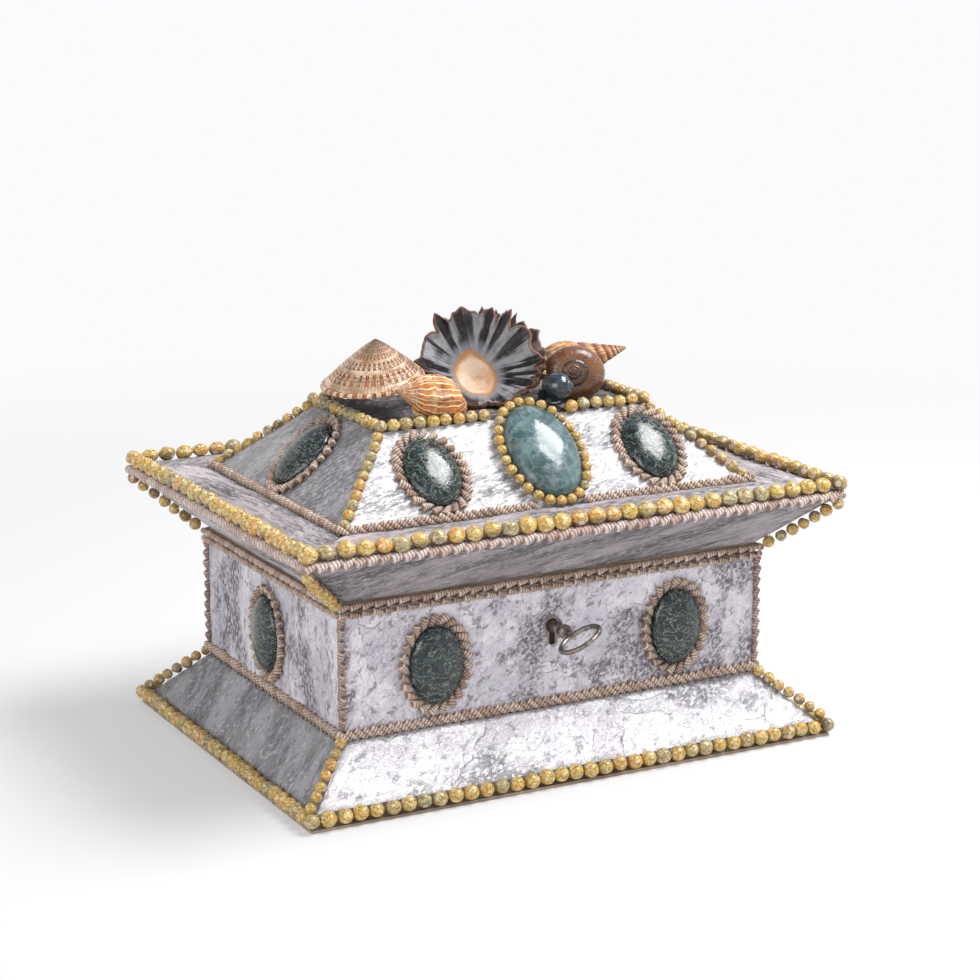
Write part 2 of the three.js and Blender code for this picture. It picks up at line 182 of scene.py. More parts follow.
# shader nodes: each call adds one and gives back what comes out of it
class Paint:
    def __init__(self, tree):
        self.tree, self.tone = tree, None

    def give(self, value, socket):
        if isinstance(value, bpy.types.NodeSocket):
            self.tree.links.new(value, socket)
        else:
            isColour = socket.type == "RGBA" and len(value) == 3
            socket.default_value = (*value, 1) if isColour else value

    def node(self, kind, inputs=None, **settings):
        node = self.tree.nodes.new("ShaderNode" + kind)
        for name, value in settings.items():
            setattr(node, name, value)
        for name, value in (inputs or {}).items():
            self.give(value, node.inputs[name])
        return node.outputs

    def calc(self, operation, *values):
        return self.node("Math", dict(enumerate(values)), operation=operation)[0]

    def times(self, first, second):
        return self.calc("MULTIPLY", first, second)

    def timesPlus(self, first, second, third):
        return self.calc("MULTIPLY_ADD", first, second, third)

    def vector(self, operation, *values):
        return self.node("VectorMath", dict(enumerate(values)), operation=operation)

    def mix(self, factor, first, second):
        return self.node("Mix", {0: factor, 6: first, 7: second}, data_type="RGBA")[2]

    def ease(self, value, low, high, toLow=0.0, toHigh=1.0):
        inputs = {0: value, 1: low, 2: high, 3: toLow, 4: toHigh}
        return self.node("MapRange", inputs, interpolation_type="SMOOTHSTEP")[0]

    def between(self, mask, low, high):
        return self.ease(mask, 0.0, 1.0, low, high)

    def ramp(self, value, stops):
        node = self.tree.nodes.new("ShaderNodeValToRGB")
        self.give(value, node.inputs[0])
        elements = node.color_ramp.elements
        while len(elements) < len(stops):
            elements.new(0.5)
        for element, (place, colour) in zip(elements, stops):
            element.position = place
            element.color = (*(colour if isinstance(colour, tuple) else (colour,) * 3), 1)
        return node.outputs[0]

    def attribute(self, name, kind="Vector"):
        return self.node("Attribute", attribute_name=name)[kind]

    def place(self):
        return self.node("TexCoord")["Object"]

    def parts(self, value):
        return self.node("SeparateXYZ", {0: value})

    def cloud(self, place, scale, detail, **more):
        return self.node("TexNoise", {"Vector": place, "Scale": scale, "Detail": detail, **more})

    def group(self, group, *values):
        names = [socket.name for socket in group.interface.items_tree if socket.in_out == "INPUT"]
        return self.node("Group", dict(zip(names, values)), node_tree=group)

    def mottle(self, place, scale, low, high, detail=3.0):
        return self.group(mottle, place, scale, detail, low, high)[0]

    # a pattern moved aside by each copy's own tint
    def shifted(self, place, tint, x, y):
        shift = self.node("CombineXYZ", {0: self.times(tint, x), 1: self.times(tint, y), 2: 0.0})[0]
        return self.vector("ADD", place, shift)[0]

    # a colour laid over the tone so far
    def stain(self, mask, colour, share=None):
        factor = mask if share is None else self.times(mask, share)
        self.tone = self.mix(factor, self.tone, colour)

    def finish(self, roughness, height, distance, strength=1.0):
        self.give(self.tone, self.shader["Base Color"])
        if roughness:
            self.give(roughness, self.shader["Roughness"])
        bump = self.node("Bump", {"Strength": strength, "Distance": distance, "Height": height})
        self.give(bump[0], self.shader["Normal"])
        return self.material


def newPaint(name, **sockets):
    material = bpy.data.materials.new(name)
    material.use_nodes = True
    paint = Paint(material.node_tree)
    paint.material = material
    paint.shader = material.node_tree.nodes["Principled BSDF"].inputs
    for label, value in sockets.items():
        paint.shader[label.replace("_", " ")].default_value = value
    return paint


def newGroup(name, inputs, outputs):
    tree = bpy.data.node_groups.new(name, "ShaderNodeTree")
    for label in inputs:
        kind = "NodeSocketVector" if label == "Place" else "NodeSocketFloat"
        tree.interface.new_socket(label, in_out="INPUT", socket_type=kind)
    for label in outputs:
        tree.interface.new_socket(label, in_out="OUTPUT", socket_type="NodeSocketFloat")
    given, made = tree.nodes.new("NodeGroupInput").outputs, tree.nodes.new("NodeGroupOutput").inputs
    return Paint(tree), [given[label] for label in inputs], made


# patches of noise cut to a mask, soft or sharp by how near its two limits are
def makeMottle():
    paint, (place, scale, detail, low, high), made = newGroup(
        "mottle", ["Place", "Scale", "Detail", "Low", "High"], ["Mask"])
    cloud = paint.cloud(place, scale, detail, Roughness=0.6)[0]
    paint.give(paint.ease(cloud, low, high), made["Mask"])
    return paint.tree


# angular flakes of stone: one tone for each, and a crack along some of their edges
def makeFlakes():
    paint, (place, scale, crack), made = newGroup("flakes", ["Place", "Scale", "Crack"], ["Tone", "Crack"])
    warp = paint.cloud(place, 70.0, 4.0)["Color"]
    bent = paint.vector("MULTIPLY_ADD", warp, (0.014, 0.014, 0.0), place)[0]
    cell = paint.node("TexVoronoi", {"Vector": bent, "Scale": scale})["Color"]
    edge = paint.node("TexVoronoi", {"Vector": bent, "Scale": scale}, feature="DISTANCE_TO_EDGE")
    line = paint.ease(edge["Distance"], 0.0, crack, 1.0, 0.0)
    gate = paint.ease(paint.cloud(place, 45.0, 2.0)[0], 0.5, 0.6)
    paint.give(paint.node("SeparateColor", {0: cell})[0], made["Tone"])
    paint.give(paint.times(line, gate), made["Crack"])
    return paint.tree


# layers of split stone: steps of height with a thin crack along each step
def makeSplitLayers():
    paint, (place, scale, layers, crack), made = newGroup(
        "splitLayers", ["Place", "Scale", "Layers", "Crack"], ["Height", "Crack"])
    cloud = paint.cloud(place, scale, 5.0, Roughness=0.62, Distortion=0.25)[0]
    level = paint.times(cloud, layers)
    part = paint.calc("FRACT", level)
    edge = paint.calc("SUBTRACT", 1.0, crack)
    step = paint.calc("ADD", paint.calc("FLOOR", level), paint.ease(part, edge, 1.0))
    near = paint.calc("ABSOLUTE", paint.calc("SUBTRACT", part, edge))
    paint.give(paint.calc("DIVIDE", step, layers), made["Height"])
    paint.give(paint.ease(near, 0.0, crack, 1.0, 0.0), made["Crack"])
    return paint.tree


# bands across one direction of a shell, made uneven by noise
def makeBands():
    paint, (place, along, count, wander, scale, low, high), made = newGroup(
        "shellBands", ["Place", "Along", "Count", "Wander", "Scale", "Low", "High"], ["Mask"])
    drift = paint.calc("SUBTRACT", paint.cloud(place, scale, 2.0)[0], 0.5)
    moved = paint.timesPlus(drift, wander, along)
    wave = paint.calc("SINE", paint.times(paint.times(moved, count), fullTurn))
    paint.give(paint.ease(paint.timesPlus(wave, 0.5, 0.5), low, high), made["Mask"])
    return paint.tree


mottle = makeMottle()
splitLayers = makeSplitLayers()
flakes = makeFlakes()
shellBands = makeBands()
print("helpers and node groups ready")


# camera, light and floor

studio = {
    "target": (0.00696, 0.0, 0.1259), "azimuth": -28.32, "elevation": 13.73, "distance": 1.3412,
    "lens": 93.1, "floorRadius": 4.0, "floorColour": (0.44, 0.44, 0.445), "floorGlow": (0.34, 0.34, 0.34),
    "floorFade": (0.3, 1.1), "horizon": (0.962, 0.965, 0.985), "zenith": (0.48, 0.48, 0.50),
    "skyFade": (0.12, 0.7), "lampTarget": (0, 0, 0.1),
    # place, size and power of each lamp
    "lamps": {"overheadSoftbox": ((0.66, -0.34, 1.33), (0.9, 0.72), 30),
              "leftFill": ((-1.5, -0.9, 0.7), (0.9, 0.9), 9)},
}


def aimAt(thing, target):
    thing.rotation_mode = "QUATERNION"
    thing.rotation_quaternion = (Vector(target) - thing.location).to_track_quat("-Z", "Y")


def makeCamera():
    azimuth, elevation = math.radians(studio["azimuth"]), math.radians(studio["elevation"])
    back = Vector((math.sin(azimuth) * math.cos(elevation),
                   -math.cos(azimuth) * math.cos(elevation), math.sin(elevation)))
    bpy.ops.object.camera_add(location=Vector(studio["target"]) + back * studio["distance"])
    camera = bpy.context.object
    camera.data.sensor_width = 36
    camera.data.lens = studio["lens"]
    camera.data.clip_start, camera.data.clip_end = 0.05, 50
    aimAt(camera, studio["target"])
    bpy.context.scene.camera = camera


def makeStudio():
    selectOnly()
    makeCamera()
    for name, (location, size, power) in studio["lamps"].items():
        bpy.ops.object.light_add(type="AREA", location=location)
        lamp = bpy.context.object
        lamp.name = name
        lamp.data.shape = "RECTANGLE"
        lamp.data.size, lamp.data.size_y = size
        lamp.data.energy = power
        aimAt(lamp, studio["lampTarget"])
    scene = bpy.context.scene
    scene.view_settings.view_transform = "Standard"
    scene.world = bpy.data.worlds.new("studioRoom")
    scene.world.use_nodes = True
    sky = Paint(scene.world.node_tree)
    rise = sky.ease(sky.parts(sky.node("TexCoord")["Generated"])[2], *studio["skyFade"])
    sky.give(sky.mix(rise, studio["horizon"], studio["zenith"]), sky.tree.nodes["Background"].inputs[0])
    floor = addShape("circle", "studioFloor", vertices=96, radius=studio["floorRadius"], fill_type="NGON")
    startEdit(floor)
    extrude(-0.05)
    endEdit()
    paint = newPaint("floorPaper", Roughness=0.9, Emission_Strength=1.0, Specular_IOR_Level=0.0)
    far = paint.ease(paint.vector("LENGTH", paint.place())["Value"], *studio["floorFade"])
    paint.give(paint.mix(far, studio["floorColour"], (0, 0, 0)), paint.shader["Base Color"])
    paint.give(paint.mix(far, studio["floorGlow"], studio["horizon"]), paint.shader["Emission Color"])
    floor.data.materials.append(paint.material)


makeStudio()
print("camera, lights and floor ready")


# key

key = {
    "place": (-2.3, -83.3, 74.8), "lean": 0.47, "wire": 1.3,
    "bowWidth": 25.0, "bowLength": 18.0, "bowStart": 19.0, "bevel": 0.3,
    # distances out of the wall and radii there
    "profile": [(-5, 3.1), (7.0, 3.2), (7.6, 2.7), (8.4, 2.5), (10.6, 2.5), (11.2, 3.3), (12.2, 3.7),
                (13.4, 3.7), (14.4, 3.0), (15.2, 2.4), (17.2, 2.0), (20.2, 2.4)],
    "steel": (0.36, 0.33, 0.30), "worn": (0.10, 0.085, 0.075), "rust": (0.24, 0.14, 0.06),
}


def makeKey():
    shank = makeTurned("shank", 28, key["profile"], mm)
    applyModifier(shank, "BEVEL", width=key["bevel"] * mm, segments=2, limit_method="ANGLE",
                  angle_limit=math.radians(25))
    ring = key["bowLength"] / 2 - key["wire"]
    bow = addShape("torus", "bow", major_segments=64, minor_segments=14, major_radius=ring * mm,
                   minor_radius=key["wire"] * mm, rotation=(quarter, 0, 0))
    widen = (key["bowWidth"] - key["bowLength"]) / 2 * mm
    middle = (key["bowStart"] + key["bowLength"] / 2) * mm
    for vertex in bow.data.vertices:
        x, y, z = vertex.co
        vertex.co = (x * (1 + widen / math.hypot(x, z)), y, z + middle)
    piece = joinPieces([shank, bow], "box_key")
    across = Vector((math.cos(key["lean"]), 0, math.sin(key["lean"])))
    outward = Vector((0, -1, 0))
    piece.data.transform(Matrix.Translation(Vector(key["place"]) * mm)
                         @ axesMatrix(across, outward.cross(across), outward))
    paint = newPaint("agedSteel", Metallic=1.0)
    wear = paint.mottle(paint.place(), 260.0, 0.4, 0.65, 5.0)
    paint.tone = paint.mix(wear, key["steel"], key["worn"])
    paint.stain(paint.mottle(paint.place(), 150.0, 0.5, 0.7, 4.0), key["rust"], 0.6)
    finishPiece(piece, paint.finish(paint.between(wear, 0.28, 0.5), wear, 0.0002, 0.6),
                "aged_metal", "key", smooth=35)


makeKey()
print("key ready")


# large shells on the flat top

def standMatrix(position, axis, across):
    y = Vector(axis).normalized()
    z = Vector(across).cross(y).normalized()
    return Matrix.Translation(Vector(position) * mm) @ axesMatrix(y.cross(z), -z, y)


# a coiled shell's mouth is closed by its rim, then by an inner wall that turns inward
mouth = {"rim": 0.86, "wall": 0.8, "turn": -0.35}


# a ring carried round the axis and shrunk towards the tip, as a shell grows; the tip is the origin
def makeCoil(name, look):
    section, steps = look["section"], look["steps"]
    count, total = len(section), round(look["turns"] * look["steps"])
    coil = addShape("circle", name, vertices=count, radius=1, fill_type="NOTHING", rotation=(quarter, 0, 0))
    for vertex, (out, rise) in zip(coil.data.vertices, section):
        vertex.co = (out * mm, 0, rise * mm)
    startEdit(coil)
    for i in range(total):
        growth = look["growth"] if i >= steps else look.get("firstGrowth", look["growth"])
        extrude()
        turnAboutZ(-fullTurn / steps)
        resize(*[growth ** (1 / steps)] * 3)
    bpy.ops.mesh.edge_face_add()
    endEdit()
    # turn, part of the way round the section, and share of the whole length
    coils = [(i / steps, j / count, i / total) for i in range(total + 1) for j in range(count)]
    addAttribute(coil, "coil", coils)
    folds, height, flare = look.get("waves", (0, 0.0, 0.0))
    for vertex, (turn, part, _) in zip(coil.data.vertices, coils):
        reach = math.hypot(vertex.co.x, vertex.co.y) / (section[0][0] * mm)
        vertex.co.z *= min(1, reach) ** look.get("dome", 0.0)
        if folds:
            wave = 0.5 + 0.5 * math.cos(fullTurn * folds * turn + 0.8 * math.sin(part * 17))
            lip = flare * max(0.0, 1 - turn / 0.13) ** 2 * (1 + 0.35 * math.sin(part * 44))
            centre = Vector((0, 0, vertex.co.z))
            vertex.co += (vertex.co - centre) * (height * wave * wave + lip)
    startEdit(coil, select="DESELECT")
    endEdit()
    for vertex in coil.data.vertices[:count]:
        vertex.select = True
    bpy.ops.object.mode_set(mode="EDIT")
    pivot = (sum(out for out, _ in section) / count * mm, 0, sum(rise for _, rise in section) / count * mm)
    extrude()
    resize(*[mouth["rim"]] * 3, pivot)
    extrude()
    turnAboutZ(mouth["turn"])
    resize(*[mouth["wall"]] * 3, pivot)
    bpy.ops.mesh.edge_face_add()
    faceOutward()
    endEdit()
    keepOwnPlace(coil)
    coil.data.transform(
        standMatrix(*look["stand"]) @ Matrix.Diagonal((*look.get("stretch", (1, 1, 1)), 1))
        @ Matrix.Translation((0, 0, look["tip"] * mm)) @ Matrix.Rotation(look["phase"], 4, "Z"))
    return coil


def roundSection(centre, depth, halfWide, halfHigh, count=20):
    angles = [i * fullTurn / count for i in range(count)]
    return [(centre + halfWide * math.cos(angle), -depth + halfHigh * math.sin(angle)) for angle in angles]


# points of a whorl along a straight cone, with small cords standing from it
def coneSection(radius, height, growth, cords, inner):
    points = []
    for i, proud in enumerate(cords):
        along = 1 - (1 - growth) * i / (len(cords) - 1)
        points.append((radius * along + proud * 0.6, -height * along + proud * 0.8))
    return points + [(radius * (growth - 0.12), -height * growth - 2.5), (inner, -height - 0.2),
                     (radius * 0.93, -height - 0.8)]


# places on the section and how strong the spotted bands and the grooves are there
sundial = {
    "section": coneSection(32.4, 28.0, 0.7, [0.0, 0.8, 0.9, 0.9, 0.1, 0.2, 0.7, 0.75, 0.75, 0.7, 0.1, 0.1,
                                             0.65, 0.7, 0.05, 0.5, 0.55, 0.0], 17.0),
    "growth": 0.7, "turns": 9.0, "steps": 44, "tip": 27.6, "phase": 1.0, "dome": 0.16,
    "stand": ((-56.6, 3.4, 185.4), (-0.09, -0.10, 1), (1, 0, 0.12)),
    "cream": (0.74, 0.54, 0.37), "beige": (0.36, 0.23, 0.13), "orange": (0.38, 0.105, 0.02),
    "brown": (0.10, 0.028, 0.01), "checks": 34.0,
    "bands": [(0.0, 1.0), (0.15, 1.0), (0.19, 0.0), (0.45, 0.0), (0.475, 0.85), (0.6, 0.85), (0.64, 0.0),
              (0.68, 0.0), (0.71, 0.9), (0.8, 0.9), (0.82, 0.0)],
    "grooves": [(0.0, 0.0), (0.16, 0.0), (0.18, 1.0), (0.2, 0.0), (0.44, 0.0), (0.46, 1.0), (0.48, 0.0),
                (0.62, 0.0), (0.65, 1.0), (0.68, 0.0), (0.8, 0.3), (0.82, 1.0)],
}
rockSnail = {
    "section": roundSection(4.6, 25.0, 7.0, 15.0, 24), "growth": 0.6, "turns": 5.0, "steps": 40, "tip": 23,
    "waves": (9, 0.13, 0.3), "phase": 3.6, "stand": ((-40, -30.4, 188), (-0.95, 0.12, 0.12), (0, -0.3, 1)),
    "orange": (0.64, 0.24, 0.035), "white": (0.90, 0.70, 0.46), "brown": (0.40, 0.11, 0.015),
}
smoothSnails = {
    "moon_snail": {
        "section": roundSection(8.6, 12.6, 8.8, 10.0, 30), "firstGrowth": 0.62, "growth": 0.5, "turns": 5.0,
        "steps": 40, "tip": 9.6, "stretch": (1.22, 1.06, 1.06), "phase": 3.8,
        "stand": ((43.6, -22, 190.2), (-0.38, -0.9, 0.2), (0.92, -0.38, 0)),
        "finish": "moonSnailShell", "slot": "brown_shell", "node": "moon_snail_shell",
        "base": (0.11, 0.034, 0.010), "second": (0.19, 0.075, 0.025), "third": (0.018, 0.011, 0.007),
        "tipColour": (0.55, 0.42, 0.3), "tipStart": 0.5, "tipShare": 0.0, "seam": 0.17, "coat": 0.3,
        "patch": 90.0, "lines": 26.0, "lineShare": 0.18, "lineBump": 0.2, "rough": 0.26, "scratch": 0.3,
    },
    "top_snail": {
        "section": roundSection(3.4, 10.4, 5.4, 8.2, 20), "firstGrowth": 0.62, "growth": 0.5, "turns": 4.5,
        "steps": 32, "tip": 11.5, "stretch": (1.1, 1.1, 1.1), "phase": 3.4,
        "stand": ((24, -34, 185.0), (0.72, -0.66, 0.2), (0, 0, 1)),
        "finish": "topSnailShell", "slot": "dark_shell", "node": "top_snail_shell",
        "base": (0.006, 0.010, 0.016), "second": (0.03, 0.05, 0.075), "third": (0.006, 0.010, 0.016),
        "tipColour": (0.20, 0.26, 0.30), "tipStart": 0.45, "tipShare": 0.8, "seam": 0.17, "coat": 0.7,
        "patch": 220.0, "lines": 18.0, "lineShare": 0.2, "lineBump": 0.2, "rough": 0.16, "scratch": 0.0,
    },
    "auger_snail": {
        "section": roundSection(5.2, 37.0, 6.4, 11.5, 20), "growth": 0.74, "turns": 9.0,
        "steps": 40, "tip": 52, "waves": (15, 0.09, 0.0), "phase": 0.0,
        "stand": ((37.5, 5, 186.2), (0.94, -0.28, 0.22), (0, 0, 1)),
        "finish": "augerShell", "slot": "rust_shell", "node": "auger_shell",
        "base": (0.56, 0.24, 0.07), "second": (0.80, 0.52, 0.28), "third": (0.24, 0.08, 0.03),
        "tipColour": (0.80, 0.52, 0.28), "tipStart": 0.5, "tipShare": 0.35, "seam": 0.02, "coat": 0.1,
        "patch": 260.0, "lines": 18.0, "lineShare": 0.5, "lineBump": 2.2, "rough": 0.38, "scratch": 0.0,
    },
}


def newShellPaint(name, **sockets):
    paint = newPaint(name, **sockets)
    return paint, paint.attribute("ownPlace"), *paint.parts(paint.attribute("coil"))


def makeSundialMaterial(look):
    paint, place, turn, part, _ = newShellPaint("sundialShell", Coat_Weight=0.15)
    band, grooves = paint.ramp(part, look["bands"]), paint.ramp(part, look["grooves"])
    checks = paint.group(shellBands, place, turn, look["checks"], 0.006, 160.0, 0.42, 0.58)[0]
    threads = paint.group(shellBands, place, turn, look["checks"] * 2.6, 0.004, 60.0, 0.1, 0.9)[0]
    blotch = paint.mottle(place, 150.0, 0.30, 0.40, 2.0)
    rust = paint.mix(paint.mottle(place, 120.0, 0.45, 0.6), look["orange"], look["brown"])
    paint.tone = paint.mix(paint.mottle(place, 90.0, 0.4, 0.6), look["cream"], look["beige"])
    paint.stain(band, look["cream"], 0.35)
    paint.stain(paint.times(checks, band), rust, blotch)
    paint.stain(grooves, look["brown"], 0.95)
    return paint.finish(paint.between(blotch, 0.5, 0.4), paint.calc("SUBTRACT", threads, grooves), 0.00035)


def makeRockSnailMaterial(look):
    paint, place, turn, part, _ = newShellPaint("rockSnailShell", Coat_Weight=0.2)
    ribs = paint.group(shellBands, place, turn, 22.0, 0.06, 170.0, 0.68, 0.9)[0]
    cords = paint.group(shellBands, place, part, 15.0, 0.05, 150.0, 0.3, 0.75)[0]
    paint.tone = paint.mix(paint.mottle(place, 120.0, 0.42, 0.6), look["orange"], look["brown"])
    paint.stain(paint.mottle(place, 130.0, 0.5, 0.64), look["white"], 0.4)
    paint.stain(cords, look["brown"], 0.4)
    paint.stain(ribs, look["white"], 0.9)
    return paint.finish(paint.between(cords, 0.38, 0.5), paint.timesPlus(cords, 0.5, ribs), 0.0006)


def makeSmoothSnailMaterial(look):
    paint, place, turn, part, length = newShellPaint(look["finish"], Coat_Weight=look["coat"], Coat_Roughness=0.1)
    lines = paint.group(shellBands, place, turn, look["lines"], 0.08, 130.0, 0.4, 0.9)[0]
    scratch = paint.group(splitLayers, place, 110.0, 2.0, 0.03)[1]
    fromSeam = paint.calc("ABSOLUTE", paint.calc("SUBTRACT", part, look["seam"]))
    paint.tone = paint.mix(paint.mottle(place, look["patch"], 0.4, 0.62, 4.0), look["base"], look["second"])
    paint.stain(lines, look["third"], look["lineShare"])
    paint.stain(paint.ease(length, look["tipStart"], 1.0), look["tipColour"], look["tipShare"])
    paint.stain(scratch, look["tipColour"], look["scratch"])
    paint.stain(paint.ease(fromSeam, 0.02, 0.09, 0.95, 0.0), look["third"], paint.ease(turn, 0.7, 1.1))
    rough = paint.between(lines, look["rough"], look["rough"] + 0.12)
    return paint.finish(rough, paint.timesPlus(lines, look["lineBump"], scratch), 0.00025)


# what the fluted shells have in common: how their rings gather, how their ribs wander and differ,
# and where the apex and the scar stand
fluting = {
    "sides": 176, "rings": 24, "gather": 1.15, "reach": 0.97, "ribSize": (0.35, 1.5), "heavySide": 2.3,
    "heavier": 0.55, "smallRim": 0.018, "roughRim": 0.02, "ribRise": 1.5, "smallRise": 0.5,
    "apex": (2.6, 3.6), "scarAxes": (0.8, 1.2), "scarDown": 0.1,
}
limpets = {
    "limpet": {
        "halfX": 30.6, "halfY": 26.2, "depth": 19.5, "ribs": 12, "star": 0.11, "wall": 1.7, "bend": 1.35,
        "stand": ((-2.5, -5.8, 199.2), (-0.36, -0.747, 0.56), (0.83, -0.529, -0.172)),
        "slot": "grey_shell", "node": "limpet_shell",
        "dark": (0.009, 0.007, 0.008), "blue": (0.30, 0.305, 0.32), "grey": (0.06, 0.05, 0.05),
        "scar": (0.66, 0.40, 0.24), "cream": (0.80, 0.62, 0.46), "edge": (0.45, 0.22, 0.08),
        "nacre": (0.27, 0.28, 0.32), "rim": (0.16, 0.06, 0.035), "scarSize": 0.42, "rough": 0.16,
    },
    "ribbed_scallop": {
        "halfX": 28.6, "halfY": 24.7, "depth": 15.5, "ribs": 26, "star": 0.05, "wall": 2.0, "bend": 1.3,
        "stand": ((9.2, 2.6, 197.4), (-0.36, -0.747, 0.56), (0.83, -0.529, -0.172)),
        "slot": "tan_shell", "node": "ribbed_shell",
        "dark": (0.13, 0.09, 0.07), "blue": (0.36, 0.28, 0.23), "grey": (0.24, 0.18, 0.15),
        "scar": (0.45, 0.36, 0.28), "cream": (0.5, 0.42, 0.34), "edge": (0.25, 0.16, 0.10),
        "nacre": (0.40, 0.34, 0.30), "rim": (0.40, 0.28, 0.22), "scarSize": 0.3, "rough": 0.5,
    },
}


def makeLimpet(name, look):
    flute = fluting
    shell = addShape("circle", name, vertices=flute["sides"], radius=1, fill_type="NOTHING")
    startEdit(shell)
    last = 1.0
    for i in range(1, flute["rings"] + 1):
        level = 1 - (i / flute["rings"]) ** flute["gather"] * flute["reach"]
        extrude()
        resize(*[level / last] * 3)
        last = level
    bpy.ops.mesh.edge_face_add()
    endEdit()
    cone = []
    chance = random.Random(look["ribs"])
    ribSizes = [chance.uniform(*flute["ribSize"]) for _ in range(look["ribs"])]
    for vertex in shell.data.vertices:
        x, y, _ = vertex.co
        r, angle = math.hypot(x, y), math.atan2(y, x)
        turn = (angle / fullTurn) % 1 * look["ribs"] + 0.4 * math.sin(angle * 3 + 1) + 0.3 * math.sin(angle * 5)
        wave = math.cos(fullTurn * turn) * ribSizes[int(turn + 0.5) % look["ribs"]]
        wave *= 1 + flute["heavier"] * math.cos(angle - flute["heavySide"])
        small = math.cos(fullTurn * turn * 3 + 1.1)
        rough = noise.noise(Vector((x * 9, y * 9, look["depth"])))
        star = 1 + r * r * (look["star"] * wave + flute["smallRim"] * small + flute["roughRim"] * rough)
        rise = (-look["depth"] * (1 - r ** look["bend"])
                + r ** 3 * (flute["ribRise"] * wave + flute["smallRise"] * small))
        leanX, leanY = x * 0.94 + y * 0.34, y * 0.94 - x * 0.34
        wide, high = flute["scarAxes"]
        cone.append((r, math.hypot(leanX / wide, (leanY + flute["scarDown"]) / high), wave))
        apexX, apexY = flute["apex"]
        vertex.co = Vector((x * look["halfX"] * star - apexX * (1 - r),
                            y * look["halfY"] * star - apexY * (1 - r), rise)) * mm
    # distance from the middle, distance in the scar's oval, and height of the rib
    addAttribute(shell, "cone", cone)
    startEdit(shell)
    faceOutward()
    endEdit()
    if shell.data.polygons[0].normal.z < 0:
        startEdit(shell)
        bpy.ops.mesh.flip_normals()
        endEdit()
    keepOwnPlace(shell)
    applyModifier(shell, "SOLIDIFY", thickness=look["wall"] * mm, offset=-1)
    shell.data.transform(standMatrix(*look["stand"]))
    return shell


def makeLimpetMaterial(name, look):
    paint = newPaint(name + "Shell", Coat_Weight=0.1, IOR=1.38)
    place = paint.attribute("ownPlace")
    radius, scarReach, wave = paint.parts(paint.attribute("cone"))
    unit = paint.vector("NORMALIZE", paint.vector("MULTIPLY", place, (1.0, 1.0, 0.0))[0])[0]
    streaks = paint.cloud(unit, 9.0, 5.0, Roughness=0.7)[0]
    fine = paint.cloud(place, 260.0, 4.0)[0]
    cloudy = paint.cloud(place, 90.0, 3.0)[0]
    rays = paint.timesPlus(wave, -0.22, paint.timesPlus(cloudy, 0.5, paint.times(streaks, 0.9)))
    near = paint.timesPlus(paint.calc("SUBTRACT", cloudy, 0.5), 0.16, scarReach)
    limit = look["scarSize"]
    paint.tone = paint.mix(paint.ease(rays, 0.64, 0.82), look["dark"], look["blue"])
    paint.stain(paint.ease(fine, 0.45, 0.7, 0.0, 0.5), look["grey"])
    paint.stain(paint.ease(near, limit + 0.05, limit + 0.2, 0.75, 0.0), look["nacre"])
    paint.stain(paint.ease(near, limit, limit + 0.05, 1.0, 0.0), look["edge"])
    scar = paint.mix(paint.ease(cloudy, 0.42, 0.62), look["scar"], look["cream"])
    paint.stain(paint.ease(near, limit - 0.07, limit, 1.0, 0.0), scar)
    paint.stain(paint.ease(radius, 0.97, 0.99, 0.0, 0.8), look["rim"])
    return paint.finish(paint.ease(fine, 0.3, 0.7, look["rough"], look["rough"] + 0.15),
                        paint.timesPlus(fine, 0.4, streaks), 0.0006, 0.7)


def makeTopShells():
    finishPiece(makeCoil("sundial", sundial), makeSundialMaterial(sundial), "pale_shell", "sundial_shell",
                smooth=70)
    finishPiece(makeCoil("rock_snail", rockSnail), makeRockSnailMaterial(rockSnail), "orange_shell",
                "rock_snail_shell", smooth=70)
    for name, look in smoothSnails.items():
        finishPiece(makeCoil(name, look), makeSmoothSnailMaterial(look), look["slot"], look["node"], smooth=70)
    for name, look in limpets.items():
        finishPiece(makeLimpet(name, look), makeLimpetMaterial(name, look), look["slot"], look["node"], smooth=60)


makeTopShells()
print("large shells ready")


# stone veneer

# half length, half depth and height at the foot and at the top of each band of the carcass, in millimetres
carcass = {
    "skirt": ((144.8, 107.6, 6.7), (119.5, 83.3, 32.1)),
    "wall": ((119.5, 83.3, 32.5), (119.5, 83.3, 97.8)),
    "cornice": ((119.5, 83.3, 102.9), (149.0, 112.9, 130.0)),
    "margin": ((149.0, 112.9, 133.5), (116.5, 80.1, 134.8)),
    "roof": ((116.5, 80.1, 134.8), (75.6, 39.2, 173.3)),
    "crown": ((75.6, 39.2, 173.3), (75.6, -39.2, 173.3)),
}
veneer = {
    "cell": 1.25, "lift": 0.3, "thickness": 0.9, "inset": 0.4, "edge": 2.5, "layer": 0.34, "layers": 7.0,
    "stepStart": 0.9, "crackAt": 0.93, "crackWidth": 0.07, "flake": 26.0, "fine": 0.16, "fineSize": 4.0,
}


# the frame of one side of a band: X to the right, Y up the face, Z out of it
def faceMatrix(side, foot, top):
    deep = 1 - side % 2
    return (Matrix.Rotation(side * quarter, 4, "Z")
            @ Matrix.Translation((0, -foot[deep] * mm, foot[2] * mm))
            @ Matrix.Rotation(math.atan2(top[2] - foot[2], foot[deep] - top[deep]), 4, "X"))


def stepUp(value, edge):
    t = max(0.0, (value - edge) / (1 - edge))
    return t * t * (3 - 2 * t)


